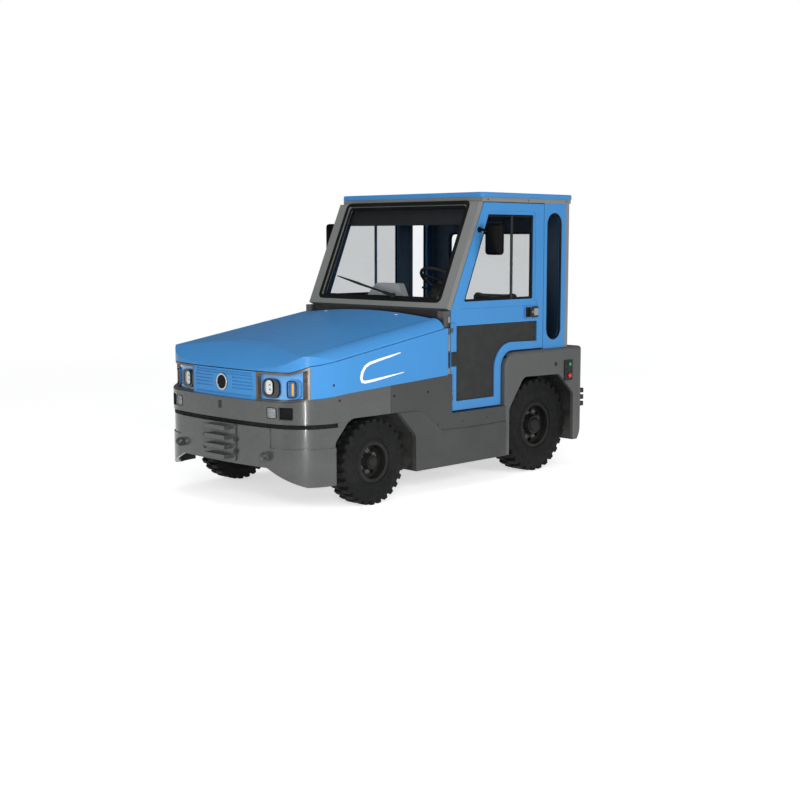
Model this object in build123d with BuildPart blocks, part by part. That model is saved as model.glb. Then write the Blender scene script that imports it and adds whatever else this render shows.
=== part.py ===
"""Battery-electric airport baggage tug with an enclosed cab.

Millimetres. +X is forward, +Y the driver's left, the floor is Z = 0 and the origin is on the
floor under the middle of the vehicle. Left-hand pieces are drawn and right-hand ones mirrored.
"""
from build123d import *
from math import cos, hypot, pi, radians, sin
import os

os.makedirs("parts", exist_ok=True)

# Body sizes
nose_x = 1460            # foremost point of the bowed nose
nose_corner_x = 1387     # where the bow would meet the body side
nose_corner_r = 290      # rounding of the nose corners, seen from above
body_y = 740             # outer face of the body sides
shell = 25               # body panel thickness
setback = 22             # how far the blue nose stands behind the bumper
bumper_wall_x = 1405     # flat inner face of the bumper casting
front_seam_x = 648       # joint between the nose casting and the side skirt
skirt_low = 170          # underside of the skirts and the nose corners
bumper_mid_low = 280     # underside of the bumper between the corners
groove_low, groove_high, groove_deep = 532, 561, 9
ledge_z, ledge_deep, ledge_y = 408, 7, 458     # the corners step in over this ledge, up to the groove
flare = 8                # how far the skirt's lower part stands out
seam_gap = 3             # between panels that meet in one face
front_jaw_reach, rear_jaw_reach = 55, 97       # hitch plates beyond the nose and the rear face

# Wheels and axles
front_axle_x, front_tyre_r, front_tyre_w, front_wheel_y = 810, 280, 170, 670
rear_axle_x, rear_tyre_r, rear_tyre_w, rear_wheel_y = -925, 340, 195, 583
kingpin_y = 555
kingpin_r = 18
running_fit = 0.05       # radial clearance of a shaft in its bore
front_spindle_r = 30
rear_spindle_r = 40
steer_arm = 130          # kingpin to tie rod eye
rail_y, rail_t = 318, 24
rail_low, rail_top = 345, 500

# Cab
cab_y = 699              # outer face of doors and side panels
door_t = 40
floor_t = 24
floor_top = rail_top + floor_t
deck_top = 900           # top of the rear fenders, which the rear of the cab stands on
riser_x = rear_axle_x + rear_tyre_r + 85      # front face of the rear body
riser_r = 110            # rounding of the fender's top front corner
deck_edge_r = 22         # rounding of the deck's rear edge
rear_x = -1418           # rear face of the body
screen_foot_x, screen_foot_z = 37, 1215    # rear lower edge of the windscreen frame
screen_head_x, screen_head_z = -293, 1952
screen_t = 40
header_low, header_t, roof_t = screen_head_z + 3, 30, 35
header_top = header_low + header_t
roof_top = header_top + roof_t
cab_rear_x = -1272
panel_rear_x = -1219     # rear edge of the blue side panel
panel_front_x = -965
door_rear_x = -959
post_front_x, post_rear_x = 105, 42
firewall_x = 60
skirt_rear_x = 62        # rear edge of the skirt's upper part, in front of the door
sill_y = 640             # inner edge of the door sill
door_low = 532
hinge_x, hinge_y = 41, 712
hood_rear_x = 150
hood_hinge_x, hood_hinge_z, hood_hinge_y = 165, 1135, 400
hinge_pin_r, hinge_barrel_r = 6, 11
cowl_low, cowl_high, cowl_front_x = 1112, 1128, 134
lid_t = 10
lid_gap = 4

# Rows of X, Z: the line between grey casting and blue panels, and the lower edge of the hood lid
belt = ((1480, 697), (1400, 697), (1290, 716), (1026, 739), (125, 787), (40, 791))
lid_seam = ((1480, 876), (1378, 879), (1290, 919), (150, 1098), (90, 1107))
lid_slope = (lid_seam[3][1] - lid_seam[2][1]) / (lid_seam[2][0] - lid_seam[3][0])
lamp_y, lamp_rear_x = 320, 1290


def keep(piece, name):
    """Label a finished piece and write its file."""
    piece.part.label = name
    export_step(piece.part, f"parts/{name}.step")


def keep_pair(piece, name):
    """Write a left-hand piece and its mirror image."""
    keep(piece, f"{name}_left")
    with BuildPart() as right:
        mirror(piece.part, about=Plane.XZ)
    keep(right, f"{name}_right")


def keep_both(piece, name):
    """Write a left-hand piece and its mirror image as one node."""
    with BuildPart() as both:
        add(piece.part)
        mirror(piece.part, about=Plane.XZ)
    keep(both, name)


def facing_left(y):
    """The plane Y = y with X to the right and Z up; extruding from it goes towards -Y."""
    return Plane.XZ.offset(-y)


def outline(points, radius=0, rounded=()):
    """A closed sketch through the points, with the numbered corners rounded."""
    with BuildSketch() as flat:
        with BuildLine():
            Polyline(*points, close=True)
        make_face()
        if radius:
            ends = [v for v in flat.vertices() if any(hypot(v.X - points[i][0], v.Y - points[i][1]) < 1
                                                      for i in rounded)]
            fillet(ends, radius)
    return flat.sketch


def nose_plan(inset=0, back=0, behind=0):
    """The nose seen from above: a bowed front, rounded corners and straight sides."""
    side, end = body_y - inset, nose_corner_x - inset - behind
    with BuildSketch() as flat:
        with BuildLine():
            ThreePointArc((end, -side), (nose_x - inset - behind, 0), (end, side))
            Polyline((end, side), (back, side), (back, -side), (end, -side))
        make_face()
        fillet(flat.vertices().group_by(Axis.X)[-1], nose_corner_r - inset)
    return flat.sketch


def nose_band(outer, inner, low, high, behind=0):
    """A wall that follows the nose between two insets."""
    with BuildPart() as band:
        with BuildSketch(Plane.XY.offset(low)):
            add(nose_plan(outer, 0, behind))
            add(nose_plan(inner, 0, behind), mode=Mode.SUBTRACT)
        extrude(amount=high - low)
    return band.part


def nose_patch(outer, inner, y, z, wide, high, corner, behind=0):
    """The part of such a wall inside a rounded rectangle, seen from the front."""
    with BuildPart() as patch:
        with BuildSketch(Plane.YZ.offset(nose_corner_x - nose_corner_r)):
            with Locations((y, z)):
                RectangleRounded(wide, high, corner)
        extrude(amount=2 * nose_corner_r)
        add(nose_band(outer, inner, z - high, z + high, behind), mode=Mode.INTERSECT)
    return patch.part


def above(line, gap=0):
    """The region over a line of X, Z points."""
    ceiling = 1500
    return outline([(x, z + gap) for x, z in line] + [(line[-1][0], ceiling), (line[0][0], ceiling)])


def front_arch():
    """Side view of the front wheel opening, which clears the tyre by the gaps given here."""
    front, rear, top = front_axle_x + front_tyre_r, front_axle_x - front_tyre_r, 2 * front_tyre_r
    return outline(((front + 40, 0), (front + 40, front_tyre_r + 160), (front - 90, top + 18),
                    (rear + 50, top + 18), (rear - 106, front_tyre_r + 133), (rear - 115, 0)), 50, (1, 2, 3, 4))


def rear_arch():
    """Side view of the rear wheel opening, which clears the tyre by the gaps given here."""
    front, rear, top = rear_axle_x + rear_tyre_r, rear_axle_x - rear_tyre_r, 2 * rear_tyre_r
    return outline(((front + 45, 0), (front + 45, rear_tyre_r + 160), (front - 115, top + 36),
                    (rear + 155, top + 28), (rear - 18, rear_tyre_r + 215), (rear - 18, 0)), 70, (1, 2, 3, 4))


# Rows of lens Y, Z, width, height, corner, inset and how far behind: headlamps and marker lamps
lens_fit, lens_t = 0.3, 12
lenses = ((420, 783, 72, 94, 34, 10, setback), (476, 629, 72, 62, 12, 0, 0))
turn_lens = (592, 778, 54, 100, 20, 14, setback)


def lens_solids(rows, grow=0):
    """Curved lenses on both sides of the nose, grown by a clearance to cut their seats."""
    with BuildPart() as made:
        for y, z, wide, high, corner, inset, behind in rows:
            for side in (1, -1):
                add(nose_patch(inset - 10 * grow, inset + lens_t + grow, side * y, z, wide + 2 * grow,
                               high + 2 * grow, corner, behind))
    return made.part


with BuildPart() as lamp_lenses:
    add(lens_solids(lenses))
keep(lamp_lenses, "lamp_lenses")

with BuildPart() as turn_lenses:
    add(lens_solids((turn_lens,)))
keep(turn_lenses, "turn_lenses")

# The step cut round each nose corner between the ledge and the groove
with BuildPart() as corner_step:
    add(nose_band(-1, ledge_deep, ledge_z, groove_low))
    with BuildSketch(Plane.XY):
        Rectangle(2 * nose_x, 2 * ledge_y)
    extrude(amount=1000, mode=Mode.SUBTRACT)

# Nose casting: bumper and front fenders in one, open below and behind
eye_x, eye_y, eye_z, eye_r, eye_t, eye_bore_r = 1462, 440, 356, 27, 20, 14
with BuildPart() as nose_casting:
    with BuildSketch(Plane.XY.offset(skirt_low)):
        add(nose_plan())
    extrude(amount=belt[-1][1] - skirt_low)
    inner_y = body_y - shell
    cavity = outline(((0, -inner_y), (bumper_wall_x, -inner_y), (bumper_wall_x, inner_y), (0, inner_y)),
                     nose_corner_r - shell, (1, 2))
    with BuildSketch(Plane.XY.offset(skirt_low)):
        add(cavity)
    extrude(amount=belt[-1][1] - skirt_low, mode=Mode.SUBTRACT)
    with BuildSketch(facing_left(body_y)):
        add(above(belt))
        add(front_arch())
        with Locations((0, 0)):
            Rectangle(front_seam_x + seam_gap, 2 * nose_x, align=(Align.MIN, Align.CENTER))
    extrude(amount=2 * body_y, mode=Mode.SUBTRACT)
    with BuildSketch(Plane.YZ.offset(1000)):
        add(outline(((-430, bumper_mid_low), (430, bumper_mid_low), (690, 166),
                     (690, 0), (-690, 0), (-690, 166))))
    extrude(amount=600, mode=Mode.SUBTRACT)
    add(nose_band(-1, groove_deep, groove_low, groove_high), mode=Mode.SUBTRACT)
    add(corner_step.part, mode=Mode.SUBTRACT)
    # Rows of recess Y, Z, width, height and depth in the bumper's face, the latch slot last
    for y, z, wide, high, deep in ((573, 629, 90, 78, 18), (-573, 629, 90, 78, 18), (0, 649, 36, 50, 14)):
        add(nose_patch(-1, deep, y, z, wide, high, 6), mode=Mode.SUBTRACT)
    add(lens_solids(lenses, lens_fit), mode=Mode.SUBTRACT)
    # Lashing eyes on the bumper's face
    for y in (eye_y, -eye_y):
        with BuildSketch(facing_left(y + eye_t / 2)):
            with Locations((eye_x, eye_z)):
                Circle(eye_r)
                Rectangle(eye_x - bumper_wall_x, 2 * eye_r, align=(Align.MAX, Align.CENTER))
                Circle(eye_bore_r, mode=Mode.SUBTRACT)
        extrude(amount=eye_t)
keep(nose_casting, "nose_casting")

# Side skirts: the grey wall from the front wheel to the rear one, with the door sill on top
with BuildPart() as skirt:
    with BuildSketch(facing_left(body_y)):
        add(outline(((front_seam_x, 0), (front_seam_x, 1000),
                     (skirt_rear_x, 1000), (skirt_rear_x, floor_top),
                     (riser_x, floor_top), (riser_x, 0))))
        add(above(belt), mode=Mode.SUBTRACT)
        add(front_arch(), mode=Mode.SUBTRACT)
        with Locations((0, 0)):
            Rectangle(2 * nose_x, 2 * skirt_low, align=(Align.CENTER, Align.CENTER), mode=Mode.SUBTRACT)
    extrude(amount=shell)
    # The lower part stands out below a crease that drops behind the front wheel
    with BuildSketch(facing_left(body_y)):
        add(outline(((600, 574), (396, 570), (348, 559), (172, 420), (-122, 411), (riser_x, 416),
                     (riser_x, skirt_low), (600, skirt_low))))
        add(front_arch(), mode=Mode.SUBTRACT)
    extrude(amount=-flare)
    with BuildSketch(Plane.XY.offset(rail_top)):
        with Locations((riser_x, sill_y)):
            Rectangle(skirt_rear_x - riser_x, body_y - sill_y, align=Align.MIN)
    extrude(amount=floor_t)
keep_both(skirt, "side_skirts")

# Rear body: fenders, rear wall and the deck behind the cab floor, one open-bottomed shell
with BuildPart() as rear_body:
    with BuildSketch(Plane.XY.offset(skirt_low)):
        add(outline(((rear_x, -body_y), (riser_x, -body_y), (riser_x, body_y),
                     (rear_x, body_y)), 70, (0, 3)))
    extrude(amount=deck_top - skirt_low)
    fillet(rear_body.faces().sort_by(Axis.Z)[-1].edges().sort_by(Axis.X)[-1], riser_r)
    fillet(rear_body.faces().sort_by(Axis.Z)[-1].edges().sort_by(Axis.X)[0], deck_edge_r)
    with BuildSketch(Plane.XY.offset(skirt_low)):
        add(outline(((rear_x + shell, shell - body_y), (riser_x - shell, shell - body_y),
                     (riser_x - shell, body_y - shell), (rear_x + shell, body_y - shell)), 45, (0, 3)))
    extrude(amount=deck_top - skirt_low - shell, mode=Mode.SUBTRACT)
    with BuildSketch(facing_left(body_y)):
        add(rear_arch())
        add(outline(((-1283, 0), (-1283, 200), (-1338, 200), (rear_x, 330),
                     (rear_x - 10, 330), (rear_x - 10, 0))))
    extrude(amount=2 * body_y, mode=Mode.SUBTRACT)
    with BuildSketch(Plane.XY):
        with Locations((riser_x, 0)):
            Rectangle(4 * shell, 2 * sill_y)
    extrude(amount=floor_top, mode=Mode.SUBTRACT)
keep(rear_body, "rear_body")

# Chassis: two rails kicked up over the rear axle, tied by cross plates
with BuildPart() as chassis:
    rail_front, rail_rear = bumper_wall_x, rear_x + shell
    with BuildSketch(facing_left(rail_y + rail_t)):
        add(outline(((rail_front, rail_low), (-600, rail_low), (-720, 440), (-1130, 440), (-1240, rail_low),
                     (rail_rear, rail_low), (rail_rear, rail_top), (rail_front, rail_top))))
    extrude(amount=rail_t)
    mirror(about=Plane.XZ)
    # Rows of cross plate X, thickness, bottom and top
    for x, thick, low, high in ((rail_front, 30, 300, 560), (640, 16, rail_low, rail_top),
                                (-464, 16, rail_low, rail_top), (rail_rear + 24, 24, rail_low, rail_top)):
        with BuildSketch(Plane.YZ.offset(x - thick)):
            with Locations((0, low)):
                Rectangle(2 * (rail_y + rail_t), high - low, align=(Align.CENTER, Align.MIN))
        extrude(amount=thick)
keep(chassis, "chassis")

# Cab tub: the floor plate on the rails, the firewall and the cowl shelf before the windscreen
with BuildPart() as cab_tub:
    with BuildSketch(Plane.XY.offset(rail_top)):
        with Locations((riser_x, 0)):
            Rectangle(post_front_x - riser_x, 2 * sill_y, align=(Align.MIN, Align.CENTER))
    extrude(amount=floor_t)
    with BuildSketch(facing_left(sill_y)):
        add(outline(((firewall_x, floor_top), (84, floor_top), (84, cowl_low), (cowl_front_x, cowl_low),
                     (cowl_front_x, cowl_high), (84, cowl_high), (84, screen_foot_z),
                      (firewall_x, screen_foot_z))))
    extrude(amount=2 * sill_y)
    # Hood hinge ears either side of each lid arm, with the pin through them
    for y in (hood_hinge_y, -hood_hinge_y):
        for ear_y in (y + 40, y - 20):
            with BuildSketch(facing_left(ear_y)):
                add(outline(((110, cowl_low + 2), (150, cowl_low + 2), (hood_hinge_x, hood_hinge_z - 8),
                             (hood_hinge_x, hood_hinge_z + 8), (125, cowl_high + 2), (110, cowl_high))))
                with Locations((hood_hinge_x, hood_hinge_z)):
                    Circle(hinge_barrel_r)
            extrude(amount=20)
        with BuildSketch(facing_left(y + 40)):
            with Locations((hood_hinge_x, hood_hinge_z)):
                Circle(hinge_pin_r)
        extrude(amount=80)
keep(cab_tub, "cab_tub")

# Battery, a plain block under the hood
battery_rear_x, battery_front_x, battery_y, battery_top = 180, 1080, 385, 960
with BuildPart() as battery:
    with BuildSketch(Plane.XY.offset(rail_top)):
        with Locations((battery_rear_x, 0)):
            Rectangle(battery_front_x - battery_rear_x, 2 * battery_y, align=(Align.MIN, Align.CENTER))
    extrude(amount=battery_top - rail_top)
keep(battery, "battery")

# Door posts, which carry the hinges and the foot of the windscreen frame
with BuildPart() as door_post:
    with BuildSketch(Plane.XY.offset(floor_top)):
        with Locations((post_rear_x, sill_y)):
            Rectangle(post_front_x - post_rear_x, cab_y - 1 - sill_y, align=Align.MIN)
    extrude(amount=screen_foot_z - floor_top)
    # Rows of fixed hinge knuckle bottom and top
    for low, high in ((610, 640), (1070, 1100)):
        with BuildSketch(Plane.XY.offset(low)):
            with Locations((hinge_x, hinge_y)):
                Circle(11)
            with Locations((hinge_x, hinge_y - 14)):
                Rectangle(40, 14, align=Align.MIN)
        extrude(amount=high - low)
        with BuildSketch(Plane.XY.offset(low)):
            with Locations((hinge_x, hinge_y)):
                Circle(6)
        extrude(amount=2 * (high - low))
keep_both(door_post, "door_posts")

# Windscreen frame: a ring in the sloping plane of the screen
screen_rise = hypot(screen_head_x - screen_foot_x, screen_head_z - screen_foot_z)
screen_plane = Plane(origin=(screen_foot_x, 0, screen_foot_z), x_dir=(0, 1, 0),
                     z_dir=((screen_head_z - screen_foot_z), 0, (screen_foot_x - screen_head_x)))
pillar_w, glass_low, header_w = 109, 66, 37
glass_half, glass_high = cab_y - pillar_w, screen_rise - header_w
with BuildPart() as windscreen_frame:
    with BuildSketch(screen_plane):
        add(outline(((-cab_y, 0), (cab_y, 0), (cab_y, screen_rise), (-cab_y, screen_rise))))
        add(outline(((-glass_half, glass_low), (glass_half, glass_low), (glass_half, glass_high),
                     (-glass_half, glass_high)), 30, (0, 1, 2, 3)), mode=Mode.SUBTRACT)
    extrude(amount=screen_t)
    with BuildSketch(facing_left(cab_y)):
        add(outline(((-400, 1100), (200, 1100), (200, screen_foot_z), (-400, screen_foot_z))))
        add(outline(((-400, header_low), (200, header_low), (200, roof_top), (-400, roof_top))))
    extrude(amount=2 * cab_y, mode=Mode.SUBTRACT)
keep(windscreen_frame, "windscreen_frame")

# Wiper, parked low across the screen
wiper_y, wiper_up, wiper_reach, wiper_park = 160, 76, 670, 12.4
wiper_plane = screen_plane.offset(screen_t)
with BuildPart() as wiper:
    with BuildSketch(wiper_plane.offset(1)):
        with Locations((wiper_y, wiper_up)):
            Circle(22)
    extrude(amount=16)
    with BuildSketch(wiper_plane.offset(6)):
        with Locations(Location((wiper_y, wiper_up), -wiper_park)):
            Rectangle(wiper_reach, 14, align=(Align.MAX, Align.CENTER))
    extrude(amount=6)
keep(wiper, "wiper")

# Doors
door_rear_low_x = riser_x + 10
arc_x, arc_z = riser_x - riser_r, deck_top - riser_r
# Where the door's front edge starts to lean, and its upper end
door_foot_x, door_foot_z = screen_foot_x - 3, screen_foot_z - 3
door_head_x, door_head_z = screen_head_x - 6, screen_head_z - 3
window_low, window_top = screen_foot_z + 57, screen_head_z - 84
window = outline(((screen_head_x - 58, window_top), (-843, window_top), (-843, window_low),
                  (screen_foot_x - 136, window_low)), 12, (0, 1, 2, 3))
window_rim, rebate = 24, 4
handle_x, handle_z, handle_t = -817, 1176, 12
pane_bar_x, pane_bar_w, pane_in = -611, 20, 18


def panel_outline():
    """The lower panel's outline, which follows the fender's rounded corner."""
    with BuildSketch() as flat:
        with BuildLine():
            Polyline((riser_x + 78, arc_z), (riser_x + 78, 595), (-23, 595), (-23, 1110), (-893, 1110),
                     (-893, 964), (arc_x, 970))
            RadiusArc((arc_x, 970), (riser_x + 78, arc_z), 184)
        make_face()
    return flat.sketch


with BuildPart() as door:
    with BuildSketch(facing_left(cab_y)):
        with BuildLine():
            Polyline((door_foot_x, door_low), (door_foot_x, door_foot_z), (door_head_x, door_head_z),
                     (door_rear_x, door_head_z), (door_rear_x, deck_top + 10), (arc_x, deck_top + 10))
            RadiusArc((arc_x, deck_top + 10), (door_rear_low_x, arc_z), riser_r + 10)
            Polyline((door_rear_low_x, arc_z), (door_rear_low_x, door_low), (door_foot_x, door_low))
        make_face()
        add(panel_outline(), mode=Mode.SUBTRACT)
    extrude(amount=door_t)
    # The window stands in a shallow rebate, and a second one runs along the belt under it
    with BuildSketch(facing_left(cab_y)):
        add(window)
        offset(amount=window_rim, kind=Kind.INTERSECTION)
        add(outline(((-80, 1258), (-893, 1258), (-893, 1222), (-64, 1222))))
    extrude(amount=rebate, mode=Mode.SUBTRACT)
    with BuildSketch(facing_left(cab_y)):
        add(window)
    extrude(amount=door_t, mode=Mode.SUBTRACT)
    # Bar between the two window panes, outside the glass
    with BuildSketch(facing_left(cab_y - pane_in + 8)):
        with Locations((pane_bar_x, (window_low + window_top) / 2)):
            Rectangle(pane_bar_w, window_top - window_low + 14)
    extrude(amount=7.7)
    for low, high in ((641, 669), (1101, 1129)):
        with BuildSketch(Plane.XY.offset(low)):
            with Locations((hinge_x, hinge_y)):
                Circle(11)
            with Locations((hinge_x - 50, cab_y)):
                Rectangle(50, 8, align=Align.MIN)
            with Locations((hinge_x, hinge_y)):
                Circle(6 + running_fit, mode=Mode.SUBTRACT)
        extrude(amount=high - low)
    # Handle: a raised plate with a finger pocket in front of the paddle
    with BuildSketch(facing_left(cab_y + handle_t)):
        with Locations((handle_x, handle_z)):
            RectangleRounded(150, 84, 10)
    extrude(amount=handle_t)
    with BuildSketch(facing_left(cab_y + handle_t)):
        with Locations((handle_x + 38, handle_z)):
            RectangleRounded(54, 62, 8)
    extrude(amount=handle_t + 10, mode=Mode.SUBTRACT)
keep_pair(door, "door")

with BuildPart() as door_glass:
    with BuildSketch(facing_left(cab_y - pane_in)):
        add(window)
    extrude(amount=5)
keep_pair(door_glass, "door_glass")

with BuildPart() as door_panel:
    with BuildSketch(facing_left(cab_y - 10)):
        add(panel_outline())
    extrude(amount=20)
keep_pair(door_panel, "door_panel")

# Mirrors on the doors' front edges
mirror_y, mirror_down = 809, 251
mirror_z = screen_head_z - mirror_down
arm_z = mirror_z + 60
door_lean = (door_foot_x - door_head_x) / (door_head_z - door_foot_z)
arm_x = door_foot_x - door_lean * (arm_z - door_foot_z) - 35
mirror_x = arm_x - 30
with BuildPart() as door_mirror:
    with BuildSketch(Plane.YZ.offset(mirror_x - 20)):
        with Locations((mirror_y, mirror_z)):
            RectangleRounded(144, 223, 22)
    extrude(amount=44)
    with BuildSketch(Plane.XZ.offset(-cab_y)):
        with Locations((arm_x, arm_z)):
            Circle(9)
    extrude(amount=-60)
keep_pair(door_mirror, "door_mirror")

# Blue side panel behind each door, with its slot window
slot_x, slot_w, slot_low, slot_high = -1085, 173, deck_top + 61, header_low - 68
with BuildPart() as side_panel:
    with BuildSketch(facing_left(cab_y)):
        add(outline(((panel_front_x, deck_top), (panel_rear_x, deck_top), (panel_rear_x, header_low),
                     (panel_front_x, header_low))))
        with Locations((slot_x, (slot_low + slot_high) / 2)):
            SlotOverall(slot_high - slot_low, slot_w, rotation=90, mode=Mode.SUBTRACT)
    extrude(amount=door_t)
keep_both(side_panel, "side_panels")

# Rear wall: corner pillars and the frame of the rear window
rear_glass_half, rear_glass_up, rear_glass_down = 500, 300, 205
rear_glass_low, rear_glass_high = deck_top + rear_glass_up, header_low - rear_glass_down
with BuildPart() as rear_wall:
    with BuildSketch(Plane.XY.offset(deck_top)):
        add(outline(((panel_rear_x, cab_y), (panel_rear_x, cab_y - 50), (cab_rear_x + 30, cab_y - 50),
                     (cab_rear_x + 30, 50 - cab_y), (panel_rear_x, 50 - cab_y), (panel_rear_x, -cab_y),
                     (cab_rear_x, -cab_y), (cab_rear_x, cab_y)), 25, (6, 7)))
    extrude(amount=header_low - deck_top)
    with BuildSketch(Plane.YZ.offset(cab_rear_x)):
        with Locations((0, (rear_glass_low + rear_glass_high) / 2)):
            RectangleRounded(2 * rear_glass_half, rear_glass_high - rear_glass_low, 60)
    extrude(amount=60, mode=Mode.SUBTRACT)
keep(rear_wall, "rear_wall")

# Fixed glass: windscreen, rear window and the two slot windows
with BuildPart() as fixed_glass:
    with BuildSketch(screen_plane.offset(14)):
        add(outline(((-glass_half, glass_low), (glass_half, glass_low), (glass_half, glass_high),
                     (-glass_half, glass_high)), 30, (0, 1, 2, 3)))
    extrude(amount=6)
    with BuildSketch(Plane.YZ.offset(cab_rear_x + 12)):
        with Locations((0, (rear_glass_low + rear_glass_high) / 2)):
            RectangleRounded(2 * rear_glass_half, rear_glass_high - rear_glass_low, 60)
    extrude(amount=6)
    for y in (cab_y - 15, 21 - cab_y):
        with BuildSketch(facing_left(y)):
            with Locations((slot_x, (slot_low + slot_high) / 2)):
                SlotOverall(slot_high - slot_low, slot_w, rotation=90)
        extrude(amount=6)
keep(fixed_glass, "fixed_glass")

# Roof: a grey header ring and the blue roof panel
header_front_x = screen_head_x + 8
with BuildPart() as roof_header:
    with BuildSketch(Plane.XY.offset(header_low)):
        add(outline(((header_front_x, -cab_y), (header_front_x, cab_y), (cab_rear_x, cab_y),
                     (cab_rear_x, -cab_y))))
        add(outline(((header_front_x - 70, -cab_y + 60), (header_front_x - 70, cab_y - 60),
                     (cab_rear_x + 60, cab_y - 60), (cab_rear_x + 60, -cab_y + 60))), mode=Mode.SUBTRACT)
    extrude(amount=header_top - header_low)
keep(roof_header, "roof_header")

with BuildPart() as roof_panel:
    with BuildSketch(Plane.XY.offset(header_top)):
        add(outline(((header_front_x + 12, -cab_y - 6), (header_front_x + 12, cab_y + 6),
                     (cab_rear_x - 20, cab_y + 6), (cab_rear_x - 20, -cab_y - 6)), 30, (0, 1, 2, 3)))
    extrude(amount=roof_top - header_top)
    fillet(roof_panel.faces().sort_by(Axis.Z)[-1].edges(), 12)
keep(roof_panel, "roof_panel")


# Hood lid: heights over the side seam, where its top starts to round down and the bevel on its front
lid_edge_up, lid_crease_up, lid_crease_y, lid_crown, lid_overhang = 12, 68, 620, 35, 3
shoulder_out, shoulder_drop = 92, 20
lid_round_x, lid_round_z, lid_bevel_x, lid_bevel_z, lid_tip_z = 1138, 1045, 1373, 947, 870


def lid_form(inset, back):
    """The hood lid's outer form, or the space under the lid when inset by its thickness."""
    edge_up, crease_up, crease_y = lid_edge_up - inset, lid_crease_up - inset, lid_crease_y - inset / 2
    side, spare, foot, sky = body_y - inset + lid_overhang, 2 * shell, belt[0][1] - lid_round_z, 2 * body_y
    round_x, tip_x, tip_z = lid_round_x - inset / 2, nose_x - setback + 4 - inset, lid_tip_z - inset
    shoulder_y, shoulder_up = crease_y + shoulder_out, crease_up - shoulder_drop
    seam_at_zero = lid_seam[3][1] + lid_slope * lid_seam[3][0]
    with BuildPart() as form:
        with BuildSketch(Plane((0, 0, seam_at_zero), x_dir=(0, 1, 0), z_dir=(1, 0, -lid_slope))):
            with BuildLine():
                ThreePointArc((-crease_y, crease_up), (0, crease_up + lid_crown), (crease_y, crease_up))
                ThreePointArc((crease_y, crease_up), (shoulder_y, shoulder_up), (side, edge_up))
                Polyline((side, edge_up), (side + spare, edge_up), (side + spare, foot),
                         (-side - spare, foot),
                         (-side - spare, edge_up), (-side, edge_up))
                ThreePointArc((-side, edge_up), (-shoulder_y, shoulder_up), (-crease_y, crease_up))
            make_face()
        extrude(amount=nose_x + 3 * spare)
        with BuildSketch(Plane.XY):
            add(nose_plan(inset, back, setback))
        extrude(amount=sky, mode=Mode.INTERSECT)
        with BuildSketch(facing_left(body_y + spare)):
            with BuildLine():
                ThreePointArc((round_x, lid_round_z - inset), (lid_bevel_x - inset, lid_bevel_z - inset),
                              (tip_x, tip_z))
                Polyline((tip_x, tip_z), (tip_x, floor_top), (-spare, floor_top), (-spare, sky),
                         (round_x, sky),
                         (round_x, lid_round_z - inset))
            make_face()
        extrude(amount=2 * (body_y + spare), mode=Mode.INTERSECT)
    return form.part


# Hood lid: one sheet with a crowned top, rounded shoulders and a bevelled, bowed front
lid_outer, lid_inner = lid_form(0, hood_rear_x), lid_form(lid_t, 0)
with BuildPart() as hood_lid:
    add(lid_outer)
    add(lid_inner, mode=Mode.SUBTRACT)
    with BuildSketch(facing_left(body_y + 10)):
        add(above(lid_seam, lid_gap))
    extrude(amount=2 * body_y + 20, mode=Mode.INTERSECT)
    for y in (hood_hinge_y, -hood_hinge_y):
        with BuildSketch(facing_left(y + 19)):
            with Locations((hood_hinge_x, hood_hinge_z)):
                Circle(hinge_barrel_r)
            add(outline(((hood_hinge_x - 8, hood_hinge_z), (hood_hinge_x + 8, hood_hinge_z - 8),
                         (hood_hinge_x + 25, 1172), (hood_hinge_x - 8, 1172))))
            with Locations((hood_hinge_x, hood_hinge_z)):
                Circle(hinge_pin_r + running_fit, mode=Mode.SUBTRACT)
        extrude(amount=38)
keep(hood_lid, "hood_lid")

# Blue panels under the lid: a side behind each headlamp and the nose panel between them
slat_deep, badge_z, badge_r, badge_t, badge_rim = 6, 791, 54, 8, 9
with BuildPart() as hood_side:
    with BuildSketch(Plane.XY.offset(600)):
        add(nose_plan(0, 0, setback))
        add(nose_plan(shell, 0, setback), mode=Mode.SUBTRACT)
    extrude(amount=600)
    with BuildSketch(facing_left(body_y + 10)):
        add(outline(belt[2:5] + ((post_front_x, 788), (post_front_x, 1104)) + lid_seam[3:1:-1]))
    extrude(amount=250, mode=Mode.INTERSECT)
with BuildPart() as hood_surround:
    add(hood_side.part)
    mirror(hood_side.part, about=Plane.XZ)
    with BuildSketch(Plane.XY.offset(belt[0][1])):
        with Locations((bumper_wall_x, 0)):
            Rectangle(200, 2 * lamp_y, align=(Align.MIN, Align.CENTER))
        add(nose_plan(0, 0, setback), mode=Mode.INTERSECT)
    extrude(amount=lid_seam[0][1] - belt[0][1])
    # Rows of slat Y, Z, width and height pressed into the nose panel round the badge
    slats = [(0, 862, 570, 8), (0, 846, 570, 8), (0, 718, 570, 8)]
    slats += [(side * 195, z, 190, 8) for side in (1, -1) for z in (826, 804, 782, 760)]
    for y, z, wide, high in slats:
        add(nose_patch(-1, slat_deep, y, z, wide, high, 3, setback), mode=Mode.SUBTRACT)
keep(hood_surround, "hood_surround")

with BuildPart() as nose_badge:
    with BuildSketch(Plane.YZ.offset(nose_x - setback)):
        with Locations((0, badge_z)):
            Circle(badge_r)
    extrude(amount=badge_t)
    with BuildSketch(Plane.YZ.offset(nose_x - setback + badge_t)):
        with Locations((0, badge_z)):
            Circle(badge_r - badge_rim)
    extrude(amount=-badge_t / 2, mode=Mode.SUBTRACT)
keep(nose_badge, "nose_badge")

# Headlamps wrap the nose corners: a deep housing, a frame round its mouth and the lamp pods in it
bezel_w, bezel_deep, housing_deep = 14, 30, 90
# Rows of lamp pod Y, Z, width, height, corner and inset
pod_rows = ((430, 778, 137, 123, 46, 14), (592, 778, 70, 122, 30, 18))


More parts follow.
